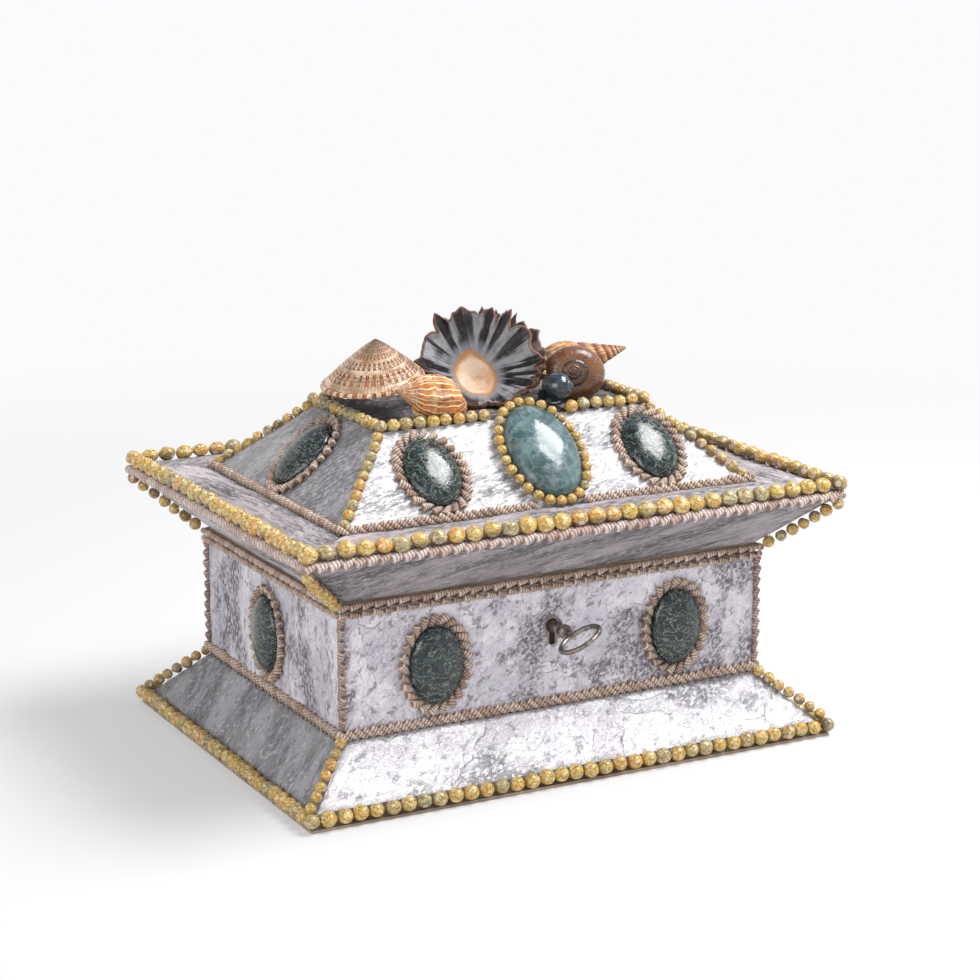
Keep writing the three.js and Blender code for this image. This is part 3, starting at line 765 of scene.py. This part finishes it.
# one sheet of split stone on one face, with layered flakes standing up from it
def makeSheet(side, band, seed, angle, stretch, depth):
    foot, top = carcass[band]
    wide, deep = side % 2, 1 - side % 2
    slope = math.hypot(foot[deep] - top[deep], top[2] - foot[2])
    widest = 2 * max(foot[wide], top[wide])
    sheet = addShape("grid", "sheet", x_subdivisions=round(widest / veneer["cell"]),
                     y_subdivisions=round(slope / veneer["cell"]), size=2)
    turnX, turnY = math.cos(angle), math.sin(angle)
    inset, edge = veneer["inset"], veneer["edge"]
    places, cracks, tones = [], [], []
    shift = Vector((seed * 7.31, seed * 3.17, seed * 1.7))
    for vertex in sheet.data.vertices:
        t = (vertex.co.y + 1) / 2
        half = foot[wide] + (top[wide] - foot[wide]) * t - inset
        x, y = vertex.co.x * half, inset + (slope - 2 * inset) * t
        along = (x * turnX + y * turnY) / stretch
        across = (y * turnX - x * turnY) * math.sqrt(stretch)
        place = Vector((along, across, 0)) / veneer["flake"] + shift
        level = (noise.fractal(place, 0.9, 2.1, 5) * 0.5 + 0.5) * veneer["layers"]
        part = level - math.floor(level)
        step = math.floor(level) + stepUp(part, veneer["stepStart"])
        fine = noise.fractal(place * (veneer["flake"] / veneer["fineSize"]), 0.8, 2.0, 3)
        sink = min(1, (1 - abs(vertex.co.x)) * half / edge, y / edge + 0.2, (slope - y) / edge + 0.2)
        height = veneer["lift"] + max(0, step * veneer["layer"] - 0.4 + fine * veneer["fine"]) * max(sink, 0.15)
        vertex.co = Vector((x, y, height)) * mm
        places.append((along * mm + seed, across * mm, seed * 0.37))
        # a line near the top of each step, where the pale edge colour is laid as painted highlight
        cracks.append(max(0.0, 1 - abs(part - veneer["crackAt"]) / veneer["crackWidth"]))
        tones.append(noise.cell_vector(Vector((math.floor(level), seed, 3)) * 1.37 + place * 0.7).x)
    addAttribute(sheet, "stonePlace", places)
    addAttribute(sheet, "crack", cracks)
    addAttribute(sheet, "flake", tones)
    # how far this sheet is darkened to the stone's deep colour: partly the stone's own tone, partly painted shade
    addAttribute(sheet, "depth", [float(depth)] * len(tones))
    sheet.data.transform(faceMatrix(side, foot, top))
    applyModifier(sheet, "SOLIDIFY", thickness=veneer["thickness"] * mm, offset=-1)
    return sheet


def makeStoneMaterial(name, look):
    paint = newPaint(name, Metallic=look["metal"], IOR=1.55)
    place = paint.attribute("stonePlace")
    layerHeight, layerCrackShade = paint.group(splitLayers, place, look["flakeScale"], 8.0, 0.05)
    largeTone, largeCrackShade = paint.group(flakes, place, look["chipScale"], 0.015)
    smallTone, smallCrackHighlight = paint.group(flakes, place, look["chipScale"] * 2.3, 0.02)
    chip = paint.timesPlus(smallTone, 0.35, largeTone)
    clouds = paint.mottle(place, look["cloudScale"], *look["cloud"], 6.0)
    speckle = paint.mottle(place, 520.0, 0.42, 0.56, 4.0)
    specks = paint.mottle(place, 210.0, *look["speck"], 6.0)
    lilac = paint.mottle(place, 60.0, 0.42, 0.6, 4.0)
    dark = paint.times(clouds, paint.between(speckle, 0.2, 1.0))
    tone = paint.ease(paint.timesPlus(paint.attribute("flake", "Fac"), 0.4, chip), 0.35, 1.35)
    paint.tone = paint.mix(tone, look["pale"], look["second"])
    paint.stain(lilac, look["lilac"], 0.7)
    # darker by each sheet's depth of tone: partly the stone's own tone, partly painted shade on sides turned from
    # the lamps and under the top shells
    paint.stain(paint.attribute("depth", "Fac"), look["deep"], paint.between(lilac, 1.0, 0.75))
    paint.stain(dark, look["dark"], look["cloudShare"])
    paint.stain(specks, look["dark"], look["speckShare"])
    # dark line along each layer step: a crack, darkened as painted shade under the step
    paint.stain(layerCrackShade, look["dark"], look["lineShare"])
    # pale colour along the small flakes' edges: painted highlight of lit flake edges
    paint.stain(smallCrackHighlight, look["edge"], 0.25)
    # dark line along the large flakes' edges: a crack, darkened as painted shade under the flakes
    paint.stain(largeCrackShade, look["crackShadeColour"], 0.6)
    # pale colour along the crack near the top of each step: painted highlight of the lit step edge
    paint.stain(paint.attribute("crack", "Fac"), look["edge"], look["crackHighlightShare"])
    rough = paint.between(speckle, look["rough"], look["rough"] + 0.1)
    relief = paint.timesPlus(chip, look["chipHeight"], paint.timesPlus(speckle, 0.12, layerHeight))
    return paint.finish(paint.timesPlus(dark, 0.2, rough), relief, look["bump"])


# one split stone in copies by face: the paler slope copy is painted light on the upward slopes, and the darker
# slate copy is painted shade on the cornice, which faces down, and lies on the margin too
stoneLooks = {
    "wallStone": {
        "pale": (0.78, 0.75, 0.80), "second": (0.55, 0.53, 0.58), "lilac": (0.60, 0.55, 0.63),
        # edge: the pale colour of lit flake edges, a painted highlight
        "dark": (0.062, 0.052, 0.055), "crackShadeColour": (0.05, 0.035, 0.03), "edge": (0.95, 0.93, 0.94),
        "deep": (0.22, 0.21, 0.23), "rough": 0.42, "cloud": (0.5, 0.6), "cloudScale": 30.0, "cloudShare": 0.8,
        "speck": (0.56, 0.62), "speckShare": 0.55, "crackHighlightShare": 0.45, "lineShare": 0.5, "flakeScale": 55.0,
        "chipScale": 38.0, "chipHeight": 0.55, "bump": 0.0017, "metal": 0.05,
    },
    "litSlopeStone": {
        "pale": (0.90, 0.89, 0.90), "second": (0.66, 0.64, 0.67), "lilac": (0.68, 0.65, 0.70),
        "dark": (0.10, 0.10, 0.11), "crackShadeColour": (0.07, 0.065, 0.07), "edge": (0.95, 0.94, 0.95),
        "deep": (0.13, 0.125, 0.13), "rough": 0.4, "cloud": (0.49, 0.6), "cloudScale": 28.0, "cloudShare": 0.68,
        "speck": (0.57, 0.63), "speckShare": 0.5, "crackHighlightShare": 0.4, "lineShare": 0.5, "flakeScale": 50.0,
        "chipScale": 34.0, "chipHeight": 0.5, "bump": 0.0016, "metal": 0.08,
    },
    "shadedSlateStone": {
        "pale": (0.60, 0.55, 0.57), "second": (0.36, 0.33, 0.34), "lilac": (0.46, 0.40, 0.42),
        "dark": (0.05, 0.05, 0.055), "crackShadeColour": (0.03, 0.03, 0.03), "edge": (0.75, 0.70, 0.70),
        "deep": (0.20, 0.18, 0.185), "rough": 0.42, "cloud": (0.46, 0.6), "cloudScale": 34.0, "cloudShare": 0.8,
        "speck": (0.55, 0.62), "speckShare": 0.5, "crackHighlightShare": 0.35, "lineShare": 0.7, "flakeScale": 60.0,
        "chipScale": 36.0, "chipHeight": 0.6, "bump": 0.002, "metal": 0.05,
    },
}
# the crown between the top shells: the slate copy with a near-black deep colour laid almost fully, painted shade
# of the hollow under the shells
stoneLooks["shadedCrownStone"] = {**stoneLooks["shadedSlateStone"], "deep": (0.03, 0.025, 0.022), "rough": 0.75}
# the roof: the paler slope copy, painted light, with more clouds and layer lines of its own
stoneLooks["roofStone"] = {**stoneLooks["litSlopeStone"], "cloud": (0.43, 0.56), "lineShare": 0.7, "bump": 0.0019}
stoneMaterials = {name: makeStoneMaterial(name, look) for name, look in stoneLooks.items()}

# for each piece of veneer: its band and finish, then the grain's angle, its stretch and how far the stone is
# darkened to its deep colour on the front, right, back and left: partly the stone's own tone, partly painted shade
sheetPlans = {
    "skirt_veneer": ("skirt", "litSlopeStone", [(0.5, 1.3, 0), (1.3, 1.8, 0.4), (0.4, 1.3, 0.3), (1.9, 1.8, 0.8)]),
    "case_veneer": ("wall", "wallStone", [(0.7, 1.1, 0), (1.5, 2.2, 0), (0.6, 1.1, 0), (1.55, 1.5, 0.1)]),
    "cornice_veneer": ("cornice", "shadedSlateStone", [(0.35, 2.6, 0.5), (0.5, 2.4, 0.3), (0.3, 2.6, 0.3),
                                                 (0.1, 3.4, 0)]),
    "margin_veneer": ("margin", "shadedSlateStone", [(0.1, 3.0, 0), (0.1, 2.6, 0), (0.1, 2.8, 0), (0.1, 3.0, 0)]),
    "roof_veneer": ("roof", "roofStone", [(0.25, 2.0, 0.06), (0.9, 1.8, 0.4), (0.6, 1.3, 0.3), (0.9, 2.0, 0.62)]),
    "crown_veneer": ("crown", "shadedCrownStone", [(0.3, 1.6, 0.95)]),
}


def makeVeneer():
    made = {}
    for number, (name, (band, finish, grains)) in enumerate(sheetPlans.items()):
        made[name] = joinPieces(
            [makeSheet(side, band, 1 + number * 4 + side, *grain) for side, grain in enumerate(grains)], name)
        finishPiece(made[name], stoneMaterials[finish], "stone_veneer", smooth=50)
    return made


sheets = makeVeneer()
print("stone veneer ready")


# oval stones

stones = {
    "small": {"halfWidth": 14.4, "halfHeight": 19.9, "depth": 6.0, "lift": 1.4},
    "middle": {"halfWidth": 19.4, "halfHeight": 28.0, "depth": 10.0, "lift": 3.0},
    "rim": 1.4, "lidShift": 4.3, "lidSpacing": 63.0, "lidUpShare": 0.495, "middleUp": 3.2, "lidLeftShift": -5.0,
    "caseSpacing": 69.5, "caseUp": 65.0, "caseLeftShift": -1.5,
}
roofFoot, roofTop = carcass["roof"]
wallFoot, wallTop = (*carcass["wall"][0][:2], 0), (*carcass["wall"][0][:2], 1)
roofFaces = [faceMatrix(side, roofFoot, roofTop) for side in range(4)]
wallFaces = [faceMatrix(side, wallFoot, wallTop) for side in range(4)]
lidShift, lidSpacing = stones["lidShift"], stones["lidSpacing"]
lidUp = math.hypot(roofTop[2] - roofFoot[2], roofFoot[1] - roofTop[1]) * stones["lidUpShare"]
caseX, caseUp = stones["caseSpacing"], stones["caseUp"]

# for each stone: its face, and its place along the face and up it
smallStonePlans = {
    "lid_front_left": (roofFaces[0], lidShift - lidSpacing, lidUp),
    "lid_front_right": (roofFaces[0], lidShift + lidSpacing, lidUp),
    "lid_right": (roofFaces[1], 0, lidUp),
    "lid_back_left": (roofFaces[2], lidSpacing, lidUp),
    "lid_back_right": (roofFaces[2], -lidSpacing, lidUp),
    "lid_left": (roofFaces[3], stones["lidLeftShift"], lidUp),
    "case_front_left": (wallFaces[0], -caseX, caseUp),
    "case_front_right": (wallFaces[0], caseX, caseUp),
    "case_right": (wallFaces[1], 0, caseUp),
    "case_back_left": (wallFaces[2], caseX, caseUp),
    "case_back_right": (wallFaces[2], -caseX, caseUp),
    "case_left": (wallFaces[3], stones["caseLeftShift"], caseUp),
}
middleStonePlan = (roofFaces[0], lidShift, lidUp + stones["middleUp"])


def placeOn(plan, height):
    face, x, y = plan
    return face @ Matrix.Translation((x * mm, y * mm, height * mm))


def makeCabochon(name, plan, size):
    stone = addShape("uv_sphere", name, segments=48, ring_count=24, radius=1)
    startEdit(stone)
    bpy.ops.mesh.bisect(plane_co=(0, 0, 0.02), plane_no=(0, 0, 1), clear_inner=True)
    bpy.ops.mesh.select_all(action="SELECT")
    bpy.ops.mesh.region_to_loop()
    extrude(-stones["rim"] / size["depth"])
    resize(0.985, 0.985, 1)
    bpy.ops.mesh.edge_face_add()
    bpy.ops.mesh.select_all(action="SELECT")
    resize(size["halfWidth"] * mm, size["halfHeight"] * mm, size["depth"] * mm)
    endEdit()
    keepOwnPlace(stone)
    stone.data.transform(placeOn(plan, size["lift"] + stones["rim"]))
    return stone


def makeJasperMaterial(name, look):
    paint = newPaint(name, Roughness=0.06, IOR=1.5, Coat_Weight=0.1, Coat_Roughness=0.02)
    place, patch = paint.place(), look["patchScale"]
    warp = paint.cloud(place, look["scale"], 4.0)["Color"]
    bent = paint.vector("MULTIPLY_ADD", warp, (0.012, 0.012, 0.012), place)[0]
    rings = paint.node("TexWave", {"Vector": bent, "Scale": look["ringScale"], "Distortion": 9.0, "Detail": 4.0,
                                   "Detail Scale": 2.2}, wave_type="RINGS")["Fac"]
    paint.tone = paint.mix(paint.mottle(bent, patch, 0.42, 0.62, 5.0), look["dark"], look["middle"])
    paint.stain(paint.ease(rings, 0.8, 0.97), look["pale"], look["veinShare"])
    paint.stain(paint.mottle(place, patch * 2.4, 0.5, 0.66, 4.0), look["grey"], 0.5)
    paint.stain(paint.mottle(bent, patch * 1.3, 0.64, 0.72, 2.0), look["rust"], 0.3)
    polish = paint.mottle(bent, patch * 1.5, 0.4, 0.62, 4.0)
    return paint.finish(paint.between(polish, *look["rough"]), polish, 0.0001, 0.5)


jasperLooks = {
    "greenJasper": {
        "scale": 160.0, "ringScale": 120.0, "patchScale": 170.0, "dark": (0.003, 0.007, 0.008),
        "middle": (0.016, 0.032, 0.036), "pale": (0.17, 0.20, 0.15), "grey": (0.05, 0.075, 0.085),
        "rust": (0.08, 0.055, 0.03), "veinShare": 0.75, "rough": (0.07, 0.2)},
    # colours set lighter and greyer: partly the stone's own colour, partly painted reflection of the lamp across
    # its broad dome
    "blueGreenJasper": {
        "scale": 90.0, "ringScale": 60.0, "patchScale": 80.0, "dark": (0.04, 0.08, 0.085),
        "middle": (0.10, 0.165, 0.17), "pale": (0.27, 0.35, 0.35), "grey": (0.21, 0.27, 0.275),
        "rust": (0.13, 0.12, 0.09), "veinShare": 0.25, "rough": (0.13, 0.3)},
}


def makeStones():
    green, blueGreen = [makeJasperMaterial(name, look) for name, look in jasperLooks.items()]
    for name, plan in smallStonePlans.items():
        finishPiece(makeCabochon(name + "_cabochon", plan, stones["small"]), green, "green_stone",
                    name + "_stone", smooth=40)
    finishPiece(makeCabochon("lid_middle_cabochon", middleStonePlan, stones["middle"]), blueGreen,
                "blue_green_stone", "lid_middle_stone", smooth=40)


makeStones()
print("oval stones ready")


# loops and hips of small shells

# the four sides of a loop about Z: where each starts and ends, and the way out of the box
def loopSides(row):
    for i, (signX, signY) in enumerate(cornerSigns):
        nextX, nextY = cornerSigns[(i + 1) % 4]
        start = Vector((signX * row["x"], signY * row["y"], row["z"]))
        end = Vector((nextX * row["x"], nextY * row["y"], row["z"]))
        yield i, start, end, Vector((signX + nextX, signY + nextY, 0)).normalized() + up * row["lift"]


def mirrored(point, signs):
    return Vector((point[0] * signs[0], point[1] * signs[1], point[2]))


# points evenly spaced along an oval, with the direction along it
def ovalPoints(halfWidth, halfHeight, count, phase=0.0):
    fine = 720
    corners = [Vector((halfWidth * math.cos(i * fullTurn / fine), halfHeight * math.sin(i * fullTurn / fine), 0))
               for i in range(fine + 1)]
    lengths = [0.0]
    for corner, after in zip(corners, corners[1:]):
        lengths.append(lengths[-1] + (after - corner).length)
    points, i = [], 0
    for k in range(count):
        wanted = (k + phase) / count * lengths[-1]
        while i < fine - 1 and lengths[i + 1] < wanted:
            i += 1
        points.append((corners[i], (corners[i + 1] - corners[i]).normalized()))
    return points


# small snail shells in rows

yellowSnail = {
    "segments": 12, "rings": 7, "spireStart": 0.55, "spireLift": 0.32, "swell": 0.07, "flatter": 0.94,
    "mouth": (0.75, 0.1, -0.62), "mouthStart": 0.72, "mouthDent": 0.2, "callusPlace": (0.62, 0.1, -0.5),
    "ochre": (0.60, 0.36, 0.045), "olive": (0.30, 0.26, 0.13), "orange": (0.70, 0.32, 0.03),
    "cream": (0.86, 0.74, 0.42), "brown": (0.11, 0.065, 0.02), "callus": (0.72, 0.58, 0.50),
}


def makeSnailModel():
    look = yellowSnail
    snail = addShape("uv_sphere", "snailModel", segments=look["segments"], ring_count=look["rings"], radius=1)
    side, start = Vector(look["mouth"]).normalized(), look["mouthStart"]
    for vertex in snail.data.vertices:
        x, y, z = vertex.co
        z += max(0.0, z - look["spireStart"]) * look["spireLift"]
        near = max(0.0, Vector((x, y, z)).normalized().dot(side) - start) / (1 - start)
        shrink = 1 - near * look["mouthDent"]
        swell = 1 + look["swell"] * math.cos(math.atan2(y, x) - z)
        vertex.co = (x * shrink * swell, y * shrink, z * shrink * look["flatter"])
    selectOnly(snail)
    bpy.ops.object.shade_smooth()
    keepOwnPlace(snail)
    return snail


def makeSnailMaterial():
    look = yellowSnail
    paint = newPaint("yellowSnailShell", Coat_Weight=0.6, Coat_Roughness=0.12)
    place, tint = paint.attribute("ownPlace"), paint.attribute("tint", "Fac")
    moved = paint.shifted(place, tint, 37.0, 91.0)
    height = paint.parts(place)[2]
    patches, dots = paint.mottle(moved, 1.6, 0.42, 0.62), paint.mottle(moved, 4.5, 0.55, 0.64)
    bands = paint.group(shellBands, moved, height, 1.6, 0.35, 1.5, 0.7, 0.95)[0]
    fromMouth = paint.vector("DISTANCE", place, look["callusPlace"])["Value"]
    paint.tone = paint.ramp(tint, [(0.0, look["olive"]), (0.25, look["ochre"]), (0.62, look["ochre"]),
                                   (0.8, look["orange"]), (1.0, look["olive"])])
    paint.stain(patches, look["cream"], 0.55)
    paint.stain(dots, look["brown"], 0.5)
    paint.stain(bands, look["brown"], 0.35)
    # darker on the side away from the spire, where the shell rests on the stone: painted contact shade, with dirt
    paint.stain(paint.ease(height, -0.75, 0.25, 0.75, 0.0), look["brown"])
    paint.stain(paint.ease(fromMouth, 0.28, 0.42, 0.85, 0.0), look["callus"])
    return paint.finish(paint.between(dots, 0.24, 0.42), paint.calc("ADD", patches, dots), 0.00035)


# loops have their corner, hips their ends; sizes are half lengths along, across and outward, in millimetres
snailRows = {
    "foot": {"x": 149.2, "y": 112.0, "z": 6.0, "spaces": (35, 26), "size": (4.25, 4.0, 4.0), "lift": 0.5},
    "eave": {"x": 149.9, "y": 113.7, "z": 137.4, "spaces": (31, 23), "size": (5.0, 4.5, 3.9), "lift": 1.5},
    "crown": {"x": 76.6, "y": 40.2, "z": 176.3, "spaces": (21, 11), "size": (3.65, 3.4, 3.3), "lift": 1.5,
              "skip": (-30, stones["middle"]["halfWidth"] + 2)},
    "footHip": {"start": (147.6, 107.1, 10.6), "end": (121.9, 86.0, 32.6), "spaces": 6,
                "size": (3.25, 3.1, 3.1), "lift": 1.4},
    "corniceHip": {"start": (149.9, 113.8, 126.6), "end": (124.9, 88.7, 103.7), "spaces": 6,
                   "size": (3.4, 3.3, 3.3), "lift": -1.4},
    "roofHip": {"start": (78.9, 42.5, 171.8), "end": (114.2, 77.8, 138.9), "spaces": 9,
                "size": (3.2, 3.1, 3.1), "lift": 1.4},
}
# for each piece: its rows, and the nodes it stands for
snailPieces = {
    "foot_snails": (["foot", "footHip"], ["foot_beads"]),
    "eave_snails": (["eave"], ["eave_beads"]),
    "roof_snails": (["crown", "roofHip"], ["roof_beads"]),
    "cornice_snails": (["corniceHip"], ["cornice_hip_beads_" + name for name in cornerNames]),
}
middleBorder = {"count": 27, "away": 2.9, "height": 1.9, "size": (2.95, 2.8, 2.8)}


# a row stops where the big middle stone's border covers it: in front of a depth and near the stone's middle
def isCovered(spot, row):
    front, reach = row.get("skip", (0, 0))
    return spot.y < front and abs(spot.x - lidShift) < reach


def snailPlace(chance, position, along, outward, size):
    lean = Vector((chance.uniform(-0.35, 0.35), chance.uniform(-0.35, 0.35), chance.uniform(-0.2, 0.2)))
    grow = chance.uniform(0.93, 1.06)
    matrix = layMatrix(position * mm, along, outward.normalized() + lean, [part * grow * mm for part in size])
    spin = Matrix.Rotation(chance.uniform(-0.9, 0.9), 4, "X") @ Matrix.Rotation(chance.uniform(0, 6.28), 4, "Z")
    flip = Matrix.Rotation(chance.choice((0, math.pi)), 4, "Z")
    return matrix @ flip @ spin, chance.random()


def snailRun(chance, start, end, spaces, count, outward, row):
    places = []
    for i in range(count):
        spot = start + (end - start) * (i / spaces)
        if not isCovered(spot, row):
            nudge = Vector([chance.uniform(-0.25, 0.25) for _ in range(3)])
            places.append(snailPlace(chance, spot + nudge, end - start, outward, row["size"]))
    return places


def snailPlaces(chance, row):
    places = []
    if "start" in row:
        for signs in cornerSigns:
            places += snailRun(chance, mirrored(row["start"], signs), mirrored(row["end"], signs), row["spaces"],
                               row["spaces"] + 1, Vector((*signs, row["lift"])), row)
    else:
        for i, start, end, outward in loopSides(row):
            spaces = row["spaces"][i % 2]
            places += snailRun(chance, start, end, spaces, spaces, outward, row)
    return places


def middleBorderPlaces(chance):
    size, away = stones["middle"], middleBorder["away"]
    centre = placeOn(middleStonePlan, size["lift"] + middleBorder["height"])
    turn = centre.to_3x3()
    points = ovalPoints(size["halfWidth"] + away, size["halfHeight"] + away, middleBorder["count"])
    return [snailPlace(chance, centre @ (point * mm) / mm, turn @ along, turn @ up, middleBorder["size"])
            for point, along in points]


def makeSnailRows():
    snail, finish = makeSnailModel(), makeSnailMaterial()
    chance = random.Random(11)
    for name, (rows, nodes) in snailPieces.items():
        places = [place for row in rows for place in snailPlaces(chance, snailRows[row])]
        finishPiece(copyModel(snail, places, name), finish, "yellow_shell", *nodes)
    border = copyModel(snail, middleBorderPlaces(chance), "middle_border_snails")
    finishPiece(border, finish, "yellow_shell", "lid_middle_border")
    removePiece(snail)


# tiny spiral shells, laid in ropes

spire = {
    "sides": 7, "whorls": 5.5,
    # places along the shell and radii there, wide end first
    "profile": [(-0.5, 0.5), (-0.41, 0.92), (-0.26, 0.98), (-0.19, 0.84), (-0.04, 0.84),
                (0.03, 0.68), (0.16, 0.66), (0.22, 0.5), (0.35, 0.42), (0.5, 0.06)],
}
spireLooks = {
    "eave": {"light": (0.86, 0.74, 0.68), "middle": (0.60, 0.42, 0.35), "dark": (0.16, 0.08, 0.06)},
    "tan": {"light": (0.84, 0.66, 0.53), "middle": (0.52, 0.35, 0.26), "dark": (0.055, 0.03, 0.022)},
    "pink": {"light": (0.70, 0.54, 0.46), "middle": (0.46, 0.31, 0.26), "dark": (0.10, 0.05, 0.045)},
}

# corner of each loop, height, pitch along it, length and width of one shell, its slant, and lift outward
ropes = {
    "case_foot_spires": {"x": 121.9, "y": 85.7, "z": 35.2, "pitch": 4.6, "size": (9.0, 3.9), "slant": -0.62,
                         "lift": 0.7, "look": "tan", "node": "case_foot_rope"},
    "case_rim_spires": {"x": 121.4, "y": 85.2, "z": 95.9, "pitch": 6.2, "size": (8.6, 3.5), "slant": -0.16,
                        "lift": 0.0, "look": "tan", "node": "case_rim_rope"},
    "lid_rim_spires": {"x": 121.6, "y": 85.4, "z": 100.5, "pitch": 6.6, "size": (9.2, 3.9), "slant": 0.12,
                       "lift": -0.1, "look": "tan", "node": "lid_rim_rope"},
    "eave_spires": {"x": 151.2, "y": 115.1, "z": 131.9, "pitch": 6.4, "size": (10.8, 5.2), "slant": 0.3,
                    "lift": 0.1, "look": "eave", "node": "eave_rope"},
    "roof_foot_spires": {"x": 118.6, "y": 82.2, "z": 136.9, "pitch": 4.6, "size": (8.6, 3.7), "slant": -0.55,
                         "lift": 1.0, "look": "tan", "node": "roof_foot_rope", "skip": (-70, 13)},
}
column = {"high": (120.4, 84.2, 94.5), "low": (120.4, 84.2, 37.0), "pitch": 5.6, "size": (8.4, 4.2), "slant": -0.3}
smallBorder = {"count": 25, "away": 2.55, "height": 2.5, "size": (7.9, 4.5), "slant": 0.78}


def makeSpireModel():
    piece = makeTurned("spireModel", spire["sides"], spire["profile"])
    bpy.ops.object.shade_smooth()
    piece.data.transform(Matrix.Rotation(quarter, 4, "Y"))
    keepOwnPlace(piece)
    return piece


def makeSpireMaterial(name, look):
    paint = newPaint(name, Roughness=0.42)
    place, tint = paint.attribute("ownPlace"), paint.attribute("tint", "Fac")
    moved = paint.shifted(place, tint, 23.0, 0.0)
    along = paint.parts(place)[0]
    bands = paint.group(shellBands, moved, along, spire["whorls"], 0.12, 2.0, 0.52, 0.9)[0]
    fine = paint.group(shellBands, moved, along, spire["whorls"] * 4, 0.03, 2.0, 0.2, 0.8)[0]
    paint.tone = paint.mix(paint.ease(tint, 0.25, 1.1), look["light"], look["middle"])
    paint.stain(paint.mottle(moved, 3.0, 0.4, 0.6), look["middle"], 0.4)
    paint.stain(bands, look["dark"], 0.7)
    paint.stain(paint.ease(along, 0.05, 0.45, 0.0, 0.75), look["dark"])
    return paint.finish(paint.between(fine, 0.34, 0.52), paint.calc("ADD", fine, bands), 0.0002)


def spirePlace(chance, position, along, outward, slant, size):
    out, along = outward.normalized(), along.normalized()
    lean = slant + chance.uniform(-0.09, 0.09)
    direction = along * math.cos(lean) + out.cross(along) * math.sin(lean) - out * 0.12
    grow = chance.uniform(0.9, 1.08) * mm
    half = size[1] / 2 * grow
    matrix = layMatrix(position * mm, direction, out, (size[0] * grow, half, half))
    return matrix @ Matrix.Rotation(chance.uniform(0, 6.28), 4, "X"), chance.random()


def spireRun(chance, start, end, outward, rope):
    along = end - start
    count = round(along.length / rope["pitch"])
    spots = [start + along * ((i + 0.5) / count) for i in range(count)]
    return [spirePlace(chance, spot, along, outward, rope["slant"], rope["size"])
            for spot in spots if not isCovered(spot, rope)]


def makeSpireRopes():
    model = makeSpireModel()
    chance = random.Random(23)
    finishes = {name: makeSpireMaterial(name + "Spire", look) for name, look in spireLooks.items()}
    for name, rope in ropes.items():
        places = []
        for _, start, end, outward in loopSides(rope):
            places += spireRun(chance, start, end, outward, rope)
        finishPiece(copyModel(model, places, name), finishes[rope["look"]], "spire_shell", rope["node"])
    for signs, corner in zip(cornerSigns, cornerNames):
        high, low = mirrored(column["high"], signs), mirrored(column["low"], signs)
        places = spireRun(chance, high, low, Vector((*signs, 0)), column)
        finishPiece(copyModel(model, places, "case_corner_spires_" + corner), finishes["pink"], "spire_shell",
                    "case_corner_rope_" + corner)
    halfWidth, halfHeight = (stones["small"][half] + smallBorder["away"] for half in ("halfWidth", "halfHeight"))
    for name, plan in smallStonePlans.items():
        centre = placeOn(plan, smallBorder["height"])
        turn = centre.to_3x3()
        points = ovalPoints(halfWidth, halfHeight, smallBorder["count"], chance.random())
        places = [spirePlace(chance, centre @ (point * mm) / mm, turn @ along, turn @ up,
                             smallBorder["slant"], smallBorder["size"]) for point, along in points]
        finishPiece(copyModel(model, places, name + "_spires"), finishes["tan"], "spire_shell", name + "_border")
    removePiece(model)


makeSnailRows()
print("rows of snail shells ready")
makeSpireRopes()
print("ropes of spiral shells ready")


# the veneer on the front is cut out at the keyhole, and a dark lining stands in the recess as painted shade of the
# hole

keyhole = {
    "sides": 32, "radius": 4.6, "deep": 5.0, "slotStart": 2.9, "slotDrop": 5.6, "slotWidth": 0.75, "sunk": 2.9,
    "shadowBlack": (0.008, 0.007, 0.006), "brown": (0.02, 0.016, 0.012),
}


def cutKeyhole():
    spot = Vector(key["place"]) * mm
    cutter = addShape("cylinder", "keyhole_shadow_lining", vertices=keyhole["sides"], radius=keyhole["radius"] * mm,
                      depth=keyhole["deep"] * mm, location=spot, rotation=(quarter, 0, 0))
    for vertex in cutter.data.vertices:
        if vertex.co.z < spot.z - keyhole["slotStart"] * mm:
            vertex.co.z -= keyhole["slotDrop"] * mm
            vertex.co.x = spot.x + (vertex.co.x - spot.x) * keyhole["slotWidth"]
    applyModifier(sheets["case_veneer"], "BOOLEAN", operation="DIFFERENCE", object=cutter, solver="FAST")
    cutter.data.transform(Matrix.Translation((0, keyhole["sunk"] * mm, 0)))
    paint = newPaint("keyholeShadow", Roughness=0.9)
    # a near-black mottle: painted shade inside the keyhole
    shadeMottle = paint.mottle(paint.place(), 300.0, 0.4, 0.6)
    paint.give(paint.mix(shadeMottle, keyhole["shadowBlack"], keyhole["brown"]), paint.shader["Base Color"])
    finishPiece(cutter, paint.material, "bare_wood")


# the carcass under the veneer

def paintCarcass():
    paint = newPaint("rawWood", Roughness=0.75)
    grain = paint.node("Mapping", {"Vector": paint.place(), "Scale": (6.0, 60.0, 120.0)})[0]
    lines = paint.mottle(grain, 4.0, 0.35, 0.7, 5.0)
    paint.tone = paint.mix(lines, (0.40, 0.31, 0.23), (0.22, 0.16, 0.11))
    wood = paint.finish(None, lines, 0.0003)
    for name in ("base_board", "base_skirt", "case", "lid"):
        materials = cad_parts[name].data.materials
        materials.clear()
        materials.append(wood)


cutKeyhole()
paintCarcass()
print("keyhole and carcass ready")
